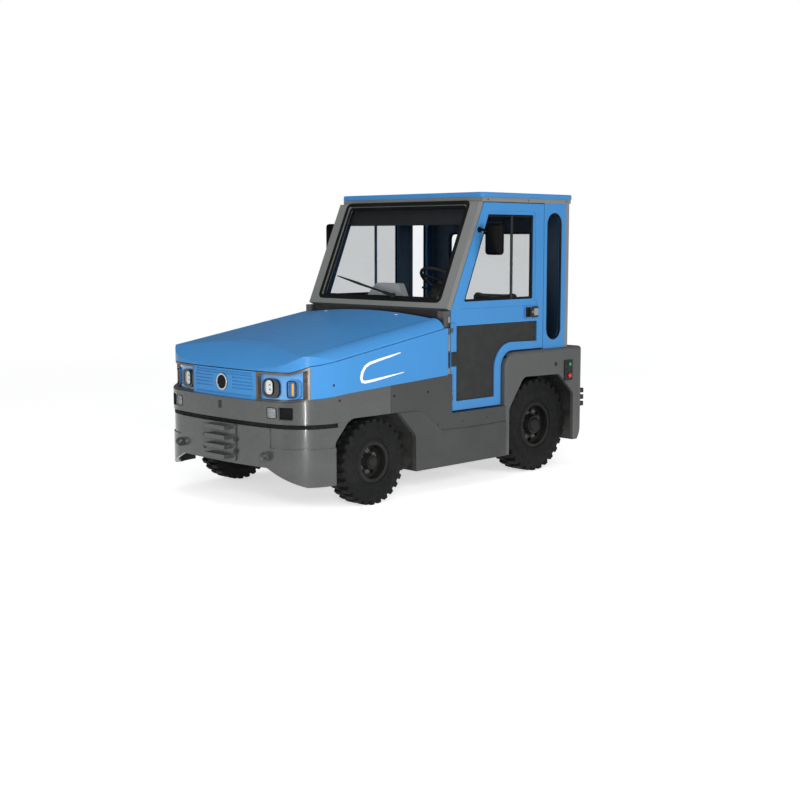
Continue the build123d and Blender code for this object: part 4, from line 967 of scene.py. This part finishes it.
class TUG_OT_door_fittings(Operator):
    """Fit handles, locks, hinge leaves and panel screws to the doors"""
    bl_idname = "tug.door_fittings"
    bl_label = "Door Fittings"

    def execute(self, context):
        for name, side in SIDES:
            dark, light, paddle = Making(), Making(), Making()
            # Handle: black plate behind the finger pocket, a frame round the pocket, paddle and lock
            bezel_y, paddle_y, skin_y, panel_y, handle_z = 0.7109, 0.7128, 0.689, 0.6888, 1.176
            dark.side_plate(side, bezel_y, -0.8515, handle_z, 0.078, 0.080, 0.008, 0.002)
            dark.collar(rounded(rectangle(0.064, 0.074, 0.779 * side, handle_z), 0.010),
                        side_plane(side, bezel_y), 0.006, 0, 0.002, 0.0008)
            dark.side_plate(side, panel_y, -0.779, handle_z, 0.052, 0.060, 0.007, 0.0012)
            dark.collar(rounded(rectangle(0.0537, 0.0617, 0.779 * side, handle_z), 0.008),
                        side_plane(side, skin_y), 0.0012, 0, 0.0222, 0.0004)
            # Cover of the bar between the panes, and the check strap's plate on the front edge
            dark.slab(rectangle(0.0215, 0.598, 0.611 * side, 1.570), side_plane(side, skin_y),
                      -0.0075, 0.0012, 0.0008)
            dark.side_plate(side, 0.699, -0.002, 0.886, 0.062, 0.100, 0.006, 0.004, 0.0015)
            paddle.side_plate(side, paddle_y, -0.862, handle_z, 0.046, 0.052, 0.008, 0.006, 0.003)
            light.lathe((-0.826, side * paddle_y, handle_z), Y * side,
                        ((0.009, 0), (0.009, 0.002), (0.0075, 0.003), (0.0055, 0.0024), (0, 0.0024)), 24)
            # Screws round the lower panel, which follow its straight edges
            for x, z in ((-0.055, 0.64), (-0.055, 0.86), (-0.055, 1.08), (-0.26, 1.08), (-0.47, 1.08),
                         (-0.68, 1.08), (-0.865, 1.06), (-0.865, 0.99), (-0.39, 0.62), (-0.22, 0.62)):
                dark.lathe((x, side * panel_y, z), Y * side,
                           ((0.007, 0), (0.0062, 0.0018), (0.003, 0.003), (0, 0.0031)), 16)
            # Inner pull bar over the panel: rows of X and how far it stands off the door's inner face
            grip = ((-0.25, 0), (-0.252, 0.022), (-0.27, 0.034), (-0.45, 0.034), (-0.468, 0.022), (-0.47, 0))
            dark.tube([(x, side * 0.6585 - off * side, 1.190) for x, off in grip], 0.009, 12)
            dark.keep(f"door_hardware_{name}", f"door_{name}")
            light.keep(f"door_lock_{name}", f"door_{name}", "bare_steel", "light_steel")
            paddle.keep(f"door_paddle_{name}", f"door_{name}", "paddle_grey", "grey_plastic")
            # Hinge leaves on the post, with the check strap's block between them
            leaf, screws, cover = Making(), Making(), Making()
            post_y = 0.6978
            for low, high in ((0.602, 0.648), (1.062, 1.108)):
                leaf.side_plate(side, post_y, 0.078, (low + high) / 2, 0.046, high - low, 0.005, 0.005)
                for z in (low + 0.012, high - 0.012):
                    screws.bolt(Vector((0.084, side * 0.7028, z)), Y * side, 0.0055)
            leaf.side_plate(side, post_y, 0.074, 0.886, 0.046, 0.098, 0.008, 0.010, 0.003)
            for top in (0.640, 1.100):
                screws.lathe((0.041, side * 0.712, top + 0.0292), Z,
                             ((0.0085, 0), (0.0085, 0.003), (0.005, 0.005), (0, 0.0051)), 20)
            # Light grey covers on the hinge post: hinge covers whose pale grey is also a painted highlight
            for low, high in ((0.672, 0.828), (0.944, 1.058), (1.135, 1.175)):
                cover.side_plate(side, post_y, 0.056, (low + high) / 2, 0.020, high - low,
                                 0.004, 0.007, 0.002)
            cover.keep(f"hinge_highlight_covers_{name}", "tractor", "hinge_highlight_grey", "light_steel")
            leaf.keep(f"hinge_leaves_{name}", "tractor", "black_plastic", "black_steel")
            screws.keep(f"hinge_screws_{name}", "tractor", "bare_steel", "light_steel")
        return {"FINISHED"}


class TUG_OT_nose(Operator):
    """Add the nose's bolts, badge centre, groove band and recess plates of painted shade, amber strips and the
    washer jets
    """
    bl_idname = "tug.nose"
    bl_label = "Nose Fittings"

    def execute(self, context):
        bolts, dark, jets, amber = Making(), Making(), Making(), Making()
        for y in (-0.157, 0.157):
            for z in (0.360, 0.436):
                spot, out = touch(("front_hitch", "nose_casting"), (1.8, y, z), -X)
                bolts.bolt(spot, out, 0.011)
        spot, out = touch(("nose_badge",), (1.8, 0, 0.791), -X)
        dark.lathe(spot, X, ((0.0435, -0.002), (0.0435, 0.0008), (0.040, 0.0016), (0, 0.0022)), 48)
        for side in (1, -1):
            # Screw of the blue side behind the lamps, and the screws of the grey panels under it
            spot, out = touch(("hood_surround", "nose_casting"), (1.147, side * 1.2, 0.800), -Y * side)
            bolts.bolt(spot, out, 0.006)
            for x, z in ((1.10, 0.70), (0.62, 0.69), (0.30, 0.69)):
                spot, out = touch(("nose_casting", "side_skirts"), (x, side * 1.2, z), -Y * side)
                dark.lathe(spot, out, ((0.0075, -0.001), (0.0075, 0.0012), (0.004, 0.002), (0, 0.002)), 16)
            # Black band in the rub groove, from the wheel opening round to the middle of the nose: painted
            # shade down in the groove
            band = [(Vector((x, side * SIDE_Y, 0)), Y * side) for x in (1.128, 1.12, 1.11)]
            band += [nose_point(side * (0.7399 - 0.7399 * (k / 55) ** 1.6), 0.0) for k in range(56)]
            lines = []
            # Rows of how far the band stands off the groove's floor and its height
            edges = ((0.0005, 0.533), (0.003, 0.5365), (0.003, 0.5565), (0.0005, 0.560))
            for start, out in band:
                before = start + out * 0.3
                spots = [touch(("nose_casting",), before + Z * z, -out)[0] for z in (0.5345, 0.5465, 0.5585)]
                deep = min((spot - start).dot(out) for spot in spots)
                lines.append([start + out * (deep + lift) + Z * z for lift, z in edges])
            dark.rows(lines, closed_round=False)
            # Black plate in the recess beside the marker lamp, painted shade in the recess, and the thin amber
            # strip in the turn lamp
            place = facing(*nose_point(side * 0.573, 0.629, 0.0, 0.0175))
            dark.slab(rounded(rectangle(0.084, 0.072), 0.008), place, -0.002, 0.001, 0.0005)
            place = facing(*nose_point(side * 0.600, 0.778, SETBACK, 0.0135))
            amber.slab(rounded(rectangle(0.011, 0.074), 0.004), place, -0.001, 0.004, 0.001)
        for y in (-0.37, 0.34):
            spot, out = touch(("hood_lid",), (0.19, y, 1.6), -Z)
            jets.bar(spot, -X, Y, ((-0.020, 0, 0.008, -0.001, 0.004), (-0.008, 0, 0.010, -0.001, 0.014),
                                   (0.008, 0, 0.010, -0.001, 0.019), (0.013, 0, 0.008, -0.001, 0.016)))
        amber.keep("turn_strips", "tractor", "amber_strip", "amber_lens")
        bolts.keep("nose_bolts", "tractor", "bolt_black", "black_steel")
        dark.keep("nose_dark_and_shade", "tractor", "seal_rubber")
        jets.keep("washer_jets", "hood", "dial_pale", "grey_trim")
        return {"FINISHED"}


class TUG_OT_stripe(Operator):
    """Lay the white hooked stripe on the bonnet's sides"""
    bl_idname = "tug.stripe"
    bl_label = "Side Stripe"

    def execute(self, context):
        # Rows of X, Z and half width along the middle of the stripe
        path = ((0.560, 0.968, 0.003), (0.640, 0.953, 0.006), (0.760, 0.932, 0.008), (0.840, 0.916, 0.009),
                (0.878, 0.898, 0.010), (0.905, 0.862, 0.011), (0.914, 0.828, 0.011), (0.906, 0.806, 0.010),
                (0.880, 0.799, 0.009), (0.800, 0.806, 0.008), (0.680, 0.820, 0.006), (0.530, 0.838, 0.002))
        for name, side in SIDES:
            paint = Making()
            upper, lower = [], []
            for i, (x, z, half) in enumerate(path):
                before, after = path[max(0, i - 1)], path[min(len(path) - 1, i + 1)]
                ahead = Vector((after[0] - before[0], after[1] - before[1])).normalized()
                for line, sign in ((upper, 1), (lower, -1)):
                    spot = Vector((x - ahead.y * half * sign, 0, z + ahead.x * half * sign))
                    face, out = touch(("hood_surround",), spot + Y * side * 1.2, -Y * side)
                    line.append(face + out * 0.0007)
            for (a, b), (c, d) in zip(zip(upper, lower), zip(upper[1:], lower[1:])):
                paint.face((a, b, d, c))
            paint.keep(f"side_stripe_{name}", "tractor", "stripe_white", "grey_trim")
        return {"FINISHED"}


class TUG_OT_controls(Operator):
    """Set buttons and sockets into the rear control panel"""
    bl_idname = "tug.controls"
    bl_label = "Rear Controls"

    def execute(self, context):
        panel, red, green = Making(), Making(), Making()
        face = 0.748
        panel.collar(rounded(rectangle(0.091, 0.148, 1.214, 0.730), 0.008), side_plane(1, face),
                     0.006, -SEAT, 0.002, 0.0008)
        for making, x, z, radius in ((green, -1.222, 0.775, 0.013), (red, -1.222, 0.690, 0.018)):
            spot = Vector((x, face, z))
            panel.lathe(spot, Y, ((radius + 0.006, -SEAT), (radius + 0.006, 0.003), (radius + 0.001, 0.004),
                                  (radius + 0.001, 0.001), (0, 0.001)), 32)
            making.lathe(spot, Y, ((radius, 0), (radius, 0.008), (radius * 0.9, 0.0105),
                                   (radius * 0.5, 0.0115), (0, 0.0118)), 32)
        panel.lathe((-1.195, face, 0.733), Y, ((0.008, 0), (0.008, 0.004), (0.006, 0.005), (0, 0.005)), 24)
        # Charging socket's flap on the fender beside the panel
        spot, out = touch(("rear_body",), (-1.069, 1.2, 0.783), -Y)
        panel.lathe(spot, out, ((0.015, -0.001), (0.015, 0.003), (0.011, 0.005), (0, 0.0052)), 28)
        panel.keep("control_fittings", "tractor")
        red.keep("button_stop", "tractor", "button_red", "red_lens")
        green.keep("button_inch", "tractor", "button_green", "black_plastic")
        return {"FINISHED"}


class TUG_OT_cab(Operator):
    """Furnish the cab: steering wheel, column shroud, dials, switches, vents, mat, lining and visor"""
    bl_idname = "tug.cab"
    bl_label = "Cab Inside"

    def execute(self, context):
        self.wheel()
        self.dash()
        self.floor()
        self.lining()
        return {"FINISHED"}

    def wheel(self):
        lean = math.radians(35)
        axis = Vector((-math.sin(lean), 0, math.cos(lean)))
        centre, radius = Vector((-0.440, 0.180, 1.395)), 0.167
        first, second = Y.copy(), axis.cross(Y)
        rim, shroud = Making(), Making()
        # The rim is a little thinner at every third step, as a grip for the fingers
        rings = []
        for k, turn in enumerate(turns(72)):
            out = first * math.cos(turn) + second * math.sin(turn)
            thick = 0.0125 - (0.0012 if k % 3 == 0 else 0)
            rings.append([centre + out * (radius + thick * math.cos(a)) + axis * thick * math.sin(a)
                          for a in turns(14)])
        rim.rows(rings, closed_along=True)
        rim.lathe(centre - axis * 0.038, axis, ((0.030, 0), (0.034, 0.006), (0.034, 0.036), (0.030, 0.043),
                                                (0.022, 0.0445), (0.0215, 0.0425), (0, 0.0430)), 36)
        for turn in (90, 210, 330):
            out = (first * math.cos(math.radians(turn)) + second * math.sin(math.radians(turn))).normalized()
            rim.bar(centre, out, axis.cross(out), (
                (0.026, 0, 0.017, -0.010, 0.001), (0.09, 0, 0.013, -0.008, 0.002),
                (radius - 0.008, 0, 0.015, -0.005, 0.004)))
        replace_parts(rim.keep("wheel_rim", "steering_wheel"), "steering_wheel")
        shroud.lathe(centre - axis * 0.30, axis, ((0.036, 0), (0.046, 0.02), (0.052, 0.16), (0.050, 0.235),
                                                  (0.040, 0.250), (0.0305, 0.252)), 32)
        for side in (1, -1):
            start = centre - axis * 0.085 + Y * side * 0.045
            end = start + Y * side * 0.105 + axis * 0.024
            shroud.tube((start, start + Y * side * 0.055 + axis * 0.008, end), 0.0055, 10)
            shroud.lathe(end, Y * side,
                         ((0.0065, -0.012), (0.009, 0), (0.009, 0.014), (0.005, 0.019), (0, 0.0195)), 16)
        shroud.keep("column_shroud", "tractor")

    def dash(self):
        frames, faces, hands = Making(), Making(), Making()
        # Blank dials in the hump's face, rows of Y, Z and radius
        for y, z, radius in ((-0.125, 1.300, 0.036), (-0.025, 1.312, 0.044), (0.075, 1.300, 0.036)):
            spot = Vector((-0.110, y, z))
            frames.lathe(spot, -X, ((radius + 0.006, -0.0005), (radius + 0.005, 0.005), (radius, 0.006),
                                    (radius - 0.002, 0.001), (0, 0.001)), 40)
            face = radius - 0.003
            faces.lathe(spot - X * 0.0012, -X, ((face, 0), (face, 0.0008), (0, 0.0008)), 40)
            way = (Z + Y * 0.6).normalized()
            hands.bar(spot, way, X.cross(-way), (
                (-0.008, 0, 0.0016, 0.0022, 0.0034), (radius - 0.008, 0, 0.0006, 0.0022, 0.0034)))
        # Rocker switches and vents along the dash's top
        top = 1.2255
        for k in range(5):
            frames.slab(rounded(rectangle(0.018, 0.030, 0.230 + 0.026 * k, 0.0), 0.003),
                        (Vector((-0.060, 0, top)), Y, -X), -0.0008, 0.004, 0.001)
        for y in (-0.52, -0.36, 0.50):
            frames.slab(rounded(rectangle(0.090, 0.045, y, 0.0), 0.008),
                        (Vector((-0.050, 0, top)), Y, -X), -0.0008, 0.003, 0.001)
            for k in range(4):
                frames.slab(rectangle(0.078, 0.003, y, -0.014 + 0.0095 * k),
                            (Vector((-0.050, 0, top + 0.003)), Y, -X), -0.0008, 0.0022, 0.0005)
        frames.keep("dash_fittings", "tractor")
        faces.keep("dial_faces", "tractor", "dial_dark", "black_plastic")
        hands.keep("dial_hands", "tractor", "stripe_white", "grey_trim")

    def floor(self):
        mat = Making()
        top = touch(("cab_tub",), (-0.25, 0.3, 0.9), -Z)[0].z
        mat.slab(rounded(rectangle(0.42, 1.16, -0.24, 0.0), 0.02), level_plane(top), -0.0005, 0.005, 0.001)
        for k in range(19):
            rib = rectangle(0.38, 0.010, -0.24, -0.54 + 0.06 * k)
            mat.slab(rib, level_plane(top + 0.005), -0.0005, 0.003, 0.001)
        mat.keep("floor_mat", "tractor", "seal_rubber")

    def lining(self):
        # Headliner, sun visor and slot-window trim: real parts whose near-black colour is also painted shade
        # under the roof
        dark = Making()
        dark.slab(rounded(rectangle(0.846, 1.270, -0.7835, 0.0), 0.03), level_plane(1.970), -0.006, 0.013)
        # Sun visor inside the screen, hung from two small arms
        inside = SCREEN_FOOT - SCREEN_OUT * 0.014
        visor = rounded(rectangle(1.170, 0.125, 0.0, 0.705), 0.02)
        dark.slab(visor, (inside, Y, SCREEN_UP), -0.005, 0.005, 0.002)
        for y in (-0.48, 0.48):
            dark.tube((inside + Y * y + SCREEN_UP * 0.76,
                       inside + Y * y + SCREEN_UP * 0.80 + SCREEN_OUT * 0.004), 0.006, 10)
        # Inner trim over the slot windows
        for side in (1, -1):
            trim = rounded(rectangle(0.235, 0.030, -1.0925, side * 0.6435), 0.004)
            dark.slab(trim, level_plane(1.9), -0.002, 0.05)
        dark.keep("cab_lining", "tractor", "lining_dark_and_shade", "black_plastic")


class TUG_OT_rear(Operator):
    """Finish the rear: lamp frames, body screws, hitch and buffer bolts and the pin's ring"""
    bl_idname = "tug.rear"
    bl_label = "Rear Fittings"

    def execute(self, context):
        dark, bright = Making(), Making()
        for side in (1, -1):
            place = (Vector((-1.440, 0, 0)), -Y, Z)
            lamp = rounded(rectangle(0.100, 0.120, -side * 0.620, 0.720), 0.012)
            dark.collar(lamp, place, 0.007, -0.004, 0.003, 0.001)
            dark.slab(rectangle(0.088, 0.004, -side * 0.620, 0.720), place, -0.0005, 0.0022)
            spot, out = touch(("rear_body", "rear_buffers"), (-1.8, side * 0.620, 0.830), X)
            dark.lathe(spot, out, ((0.008, -0.001), (0.008, 0.0015), (0.004, 0.003), (0, 0.003)), 16)
            for z in (0.440, 0.540):
                spot, out = touch(("rear_buffers",), (-1.8, side * 0.640, z), X)
                bright.bolt(spot, out, 0.008)
        for y in (-0.10, 0.10):
            for z in (0.395, 0.520):
                spot, out = touch(("rear_hitch", "rear_body"), (-1.8, y, z), X)
                bright.bolt(spot, out, 0.009)
        # Ring in the hitch pin's head, to lift it by
        top, out = touch(("rear_hitch",), (-1.480, 0, 1.2), -Z)
        ring = [top + Vector((0, 0.020 * math.cos(a), 0.022 + 0.022 * math.sin(a))) for a in turns(24)]
        bright.tube(ring, 0.0035, 10, closed=True)
        dark.keep("rear_fittings", "tractor")
        bright.keep("rear_bolts", "tractor", "bare_steel", "light_steel")
        return {"FINISHED"}


class TUG_OT_battery(Operator):
    """Cap the battery's cells and link them with bars and cables"""
    bl_idname = "tug.battery"
    bl_label = "Battery Top"

    def execute(self, context):
        caps, bars, cables = Making(), Making(), Making()
        top = 0.960
        columns, lanes = 8, 5
        for i in range(columns):
            for j in range(lanes):
                x, y = 0.230 + 0.110 * i, -0.300 + 0.150 * j
                caps.lathe((x, y, top), Z, (
                    (0.018, -0.0005), (0.018, 0.006), (0.012, 0.010), (0.006, 0.011), (0, 0.011)), 20)
                for shift in (-0.036, 0.036):
                    bars.lathe((x, y + shift, top), Z, ((0.009, -0.0005), (0.009, 0.007), (0, 0.007)), 16)
                if j < lanes - 1:
                    ends = [(far, 0, 0.006, 0.006, 0.009) for far in (0.034, 0.116)]
                    bars.bar(Vector((x, y, top)), Y, -X, ends)
        # Rows of the cables' X, share of their Y and height over the battery
        route = ((1.00, 1, 0.010), (1.03, 1, 0.022), (1.06, 0.98, 0.012), (1.075, 0.95, 0.006),
                 (1.078, 0.6, 0.010), (1.075, 0.25, 0.010))
        for y in (-0.336, 0.336):
            cables.tube([(x, y * share, top + height) for x, share, height in route], 0.008, 12)
        caps.keep("battery_caps", "tractor", "battery_cap", "battery_case")
        bars.keep("battery_links", "tractor", "bare_steel", "light_steel")
        cables.keep("battery_cables", "tractor", "seal_rubber")
        return {"FINISHED"}


class TUG_OT_body_details(Operator):
    """Rib the door sills, bolt the skirts and roof, and run the cables under the floor"""
    bl_idname = "tug.body_details"
    bl_label = "Body Details"

    def execute(self, context):
        treads, bolts, lines = Making(), Making(), Making()
        for side in (1, -1):
            edge = side * 0.668
            top = touch(("side_skirts",), (-0.2, edge, 0.9), -Z)[0].z
            for k in range(4):
                rib = rounded(rectangle(0.340, 0.008, -0.23, edge - side * 0.018 + side * 0.013 * k), 0.003)
                treads.slab(rib, level_plane(top), -0.0005, 0.0035, 0.001)
            for x, z in ((0.20, 0.46), (-0.05, 0.46), (-0.30, 0.46)):
                spot, out = touch(("side_skirts",), (x, side * 1.2, z), -Y * side)
                bolts.lathe(spot, out, ((0.008, -0.001), (0.008, 0.001), (0.0045, 0.0026), (0, 0.0027)), 18)
            for x in (-0.34, -0.78, -1.22):
                spot, out = touch(("roof_header",), (x, side * 1.2, 1.970), -Y * side)
                bolts.lathe(spot, out, ((0.006, -0.001), (0.006, 0.001), (0.003, 0.002), (0, 0.002)), 16)
            inner, low = side * 0.300, 0.372
            run = ((0.70, low), (0.30, low), (-0.30, low), (-0.55, low + 0.008))
            lines.tube([(x, inner, z) for x, z in run], 0.007, 10)
            for x in (0.55, 0.20, -0.15, -0.45):
                lines.lathe((x, inner, low), X, ((0.011, -0.006), (0.011, 0.006)), 14)
        treads.keep("sill_treads", "tractor", "seal_rubber")
        bolts.keep("body_bolts", "tractor", "bolt_black", "black_steel")
        lines.keep("floor_cables", "tractor", "seal_rubber")
        return {"FINISHED"}


class TUG_OT_stage(Operator):
    """Set up the studio: pale floor, soft lights and the photograph's view"""
    bl_idname = "tug.stage"
    bl_label = "Studio Stage"

    def execute(self, context):
        scene, stage = context.scene, context.scene.tug_stage
        scene.view_settings.view_transform = "Standard"
        self.floor()
        self.world(scene, stage.sky)
        self.lamps()
        self.camera(scene, stage)
        return {"FINISHED"}

    def floor(self):
        making = Making()
        made = making.rows([[Vector((radius * math.cos(a), radius * math.sin(a), -0.0005)) for a in turns(64)]
                            for radius in (90, 40, 16, 8, 4, 2)])
        making.mesh.faces.new(made[-1])
        data = bpy.data.meshes.new("studio_floor")
        making.mesh.to_mesh(data)
        making.mesh.free()
        floor = bpy.data.objects.new("studio_floor", data)
        bpy.context.scene.collection.objects.link(floor)
        look = Finish("studio_floor")
        look.colour(look.blend(look.noise(1.2, 3), (0.72, 0.72, 0.72, 1), (0.76, 0.76, 0.76, 1)))
        look.set(Roughness=0.9, Specular_IOR_Level=0.1)
        glow = look.node("Emission")
        path = look.node("LightPath")
        bent = look.maths("MAXIMUM", path.outputs["Is Glossy Ray"], path.outputs["Is Transmission Ray"])
        seen = look.maths("MAXIMUM", path.outputs["Is Camera Ray"], bent)
        distance = look.node("VectorMath", operation="LENGTH")
        look.join(look.place, distance.inputs[0])
        level = look.spread(distance.outputs["Value"], 3.5, 14.0, 0.60, 0.75)
        look.join(look.maths("MULTIPLY", seen, level), glow.inputs["Strength"])
        both = look.node("AddShader")
        look.join(look.shader.outputs[0], both.inputs[0])
        look.join(glow.outputs[0], both.inputs[1])
        look.join(both.outputs[0], look.output.inputs[0])
        data.materials.append(look.material)

    def world(self, scene, sky):
        world = bpy.data.worlds.new("studio")
        scene.world = world
        world.use_nodes = True
        tree = world.node_tree
        tree.nodes.clear()
        output = tree.nodes.new("ShaderNodeOutputWorld")
        both = tree.nodes.new("ShaderNodeMixShader")
        light, shown = tree.nodes.new("ShaderNodeBackground"), tree.nodes.new("ShaderNodeBackground")
        light.inputs[0].default_value = (0.98, 0.99, 1.0, 1)
        shown.inputs[0].default_value = (1, 1, 1, 1)
        shown.inputs[1].default_value = 1.0
        path = tree.nodes.new("ShaderNodeLightPath")
        most = tree.nodes.new("ShaderNodeMath")
        most.operation = "MAXIMUM"
        # Behind the lamps the studio is dim, so what shines mirrors less than what lights it
        dim = tree.nodes.new("ShaderNodeMapRange")
        dim.inputs["To Min"].default_value, dim.inputs["To Max"].default_value = sky, sky * 0.4
        for source, target in ((path.outputs["Is Glossy Ray"], dim.inputs["Value"]),
                               (dim.outputs[0], light.inputs[1]),
                               (path.outputs["Is Camera Ray"], most.inputs[0]),
                               (path.outputs["Is Transmission Ray"], most.inputs[1]),
                               (most.outputs[0], both.inputs[0]), (light.outputs[0], both.inputs[1]),
                               (shown.outputs[0], both.inputs[2]), (both.outputs[0], output.inputs[0])):
            tree.links.new(source, target)

    def lamps(self):
        # Rows of lamp name, place, point it faces, width, height and power
        rows = (("overhead", (0.3, 0.2, 6.5), (0, 0, 0.6), 5.0, 4.0, 95),
                ("near_strip", (3.16, 3.04, 1.15), (1.31, 0.68, 1.15), 0.12, 2.2, 60),
                ("corner_key", (6.2, 7.4, 3.6), (1.2, 0.5, 0.8), 1.5, 2.0, 175),
                ("side_key", (-1.2, 8.6, 3.4), (0.0, 0.6, 0.8), 5.0, 2.6, 370),
                ("front_fill", (8.0, -2.0, 2.0), (1.4, 0, 0.6), 3.0, 2.5, 170))
        for name, place, target, width, height, power in rows:
            data = bpy.data.lights.new(name, "AREA")
            data.shape, data.size, data.size_y, data.energy = "RECTANGLE", width, height, power
            lamp = bpy.data.objects.new(name, data)
            lamp.location = place
            lamp.rotation_euler = (Vector(target) - Vector(place)).to_track_quat("-Z", "Y").to_euler()
            bpy.context.scene.collection.objects.link(lamp)

    def camera(self, scene, stage):
        data = bpy.data.cameras.new("photo_view")
        data.lens, data.sensor_width, data.clip_end = stage.camera_lens, 36, 300
        camera = bpy.data.objects.new("photo_view", data)
        camera.location = stage.camera_place
        level = math.cos(stage.camera_dip)
        look = Vector((-math.cos(stage.camera_turn) * level, -math.sin(stage.camera_turn) * level,
                       -math.sin(stage.camera_dip)))
        camera.rotation_euler = look.to_track_quat("-Z", "Y").to_euler()
        scene.collection.objects.link(camera)
        scene.camera = camera


class TUG_PT_looks(Panel):
    """Lists the tug's pieces in the order they are made"""
    bl_idname = "TUG_PT_looks"
    bl_label = "Baggage Tug"
    bl_space_type = "VIEW_3D"
    bl_region_type = "UI"
    bl_category = "Tug"

    def draw(self, context):
        scene = context.scene
        groups = (("Paints", scene.tug_paints), ("Sizes", scene.tug_sizes), ("Stage", scene.tug_stage))
        for heading, group in groups:
            self.layout.label(text=heading)
            for name in group.__annotations__:
                self.layout.prop(group, name)
        for step in STEPS:
            self.layout.operator(step.bl_idname)


GROUPS = ((TugPaints, "tug_paints"), (TugSizes, "tug_sizes"), (TugStage, "tug_stage"))
STEPS = (TUG_OT_finishes, TUG_OT_seals, TUG_OT_seat, TUG_OT_tyres, TUG_OT_wheel_fittings, TUG_OT_lamps,
         TUG_OT_wiper, TUG_OT_mirrors, TUG_OT_door_fittings, TUG_OT_nose, TUG_OT_stripe, TUG_OT_controls,
         TUG_OT_cab, TUG_OT_rear, TUG_OT_battery, TUG_OT_body_details, TUG_OT_stage)


def register():
    for group, name in GROUPS:
        bpy.utils.register_class(group)
        setattr(bpy.types.Scene, name, PointerProperty(type=group))
    for step in STEPS + (TUG_PT_looks,):
        bpy.utils.register_class(step)


def unregister():
    for step in (TUG_PT_looks,) + STEPS[::-1]:
        bpy.utils.unregister_class(step)
    for group, name in GROUPS[::-1]:
        delattr(bpy.types.Scene, name)
        bpy.utils.unregister_class(group)


def main():
    """Make every piece in order."""
    register()
    for step in STEPS:
        group, call = step.bl_idname.split(".")
        getattr(getattr(bpy.ops, group), call)()


if __name__ == "__main__":
    main()
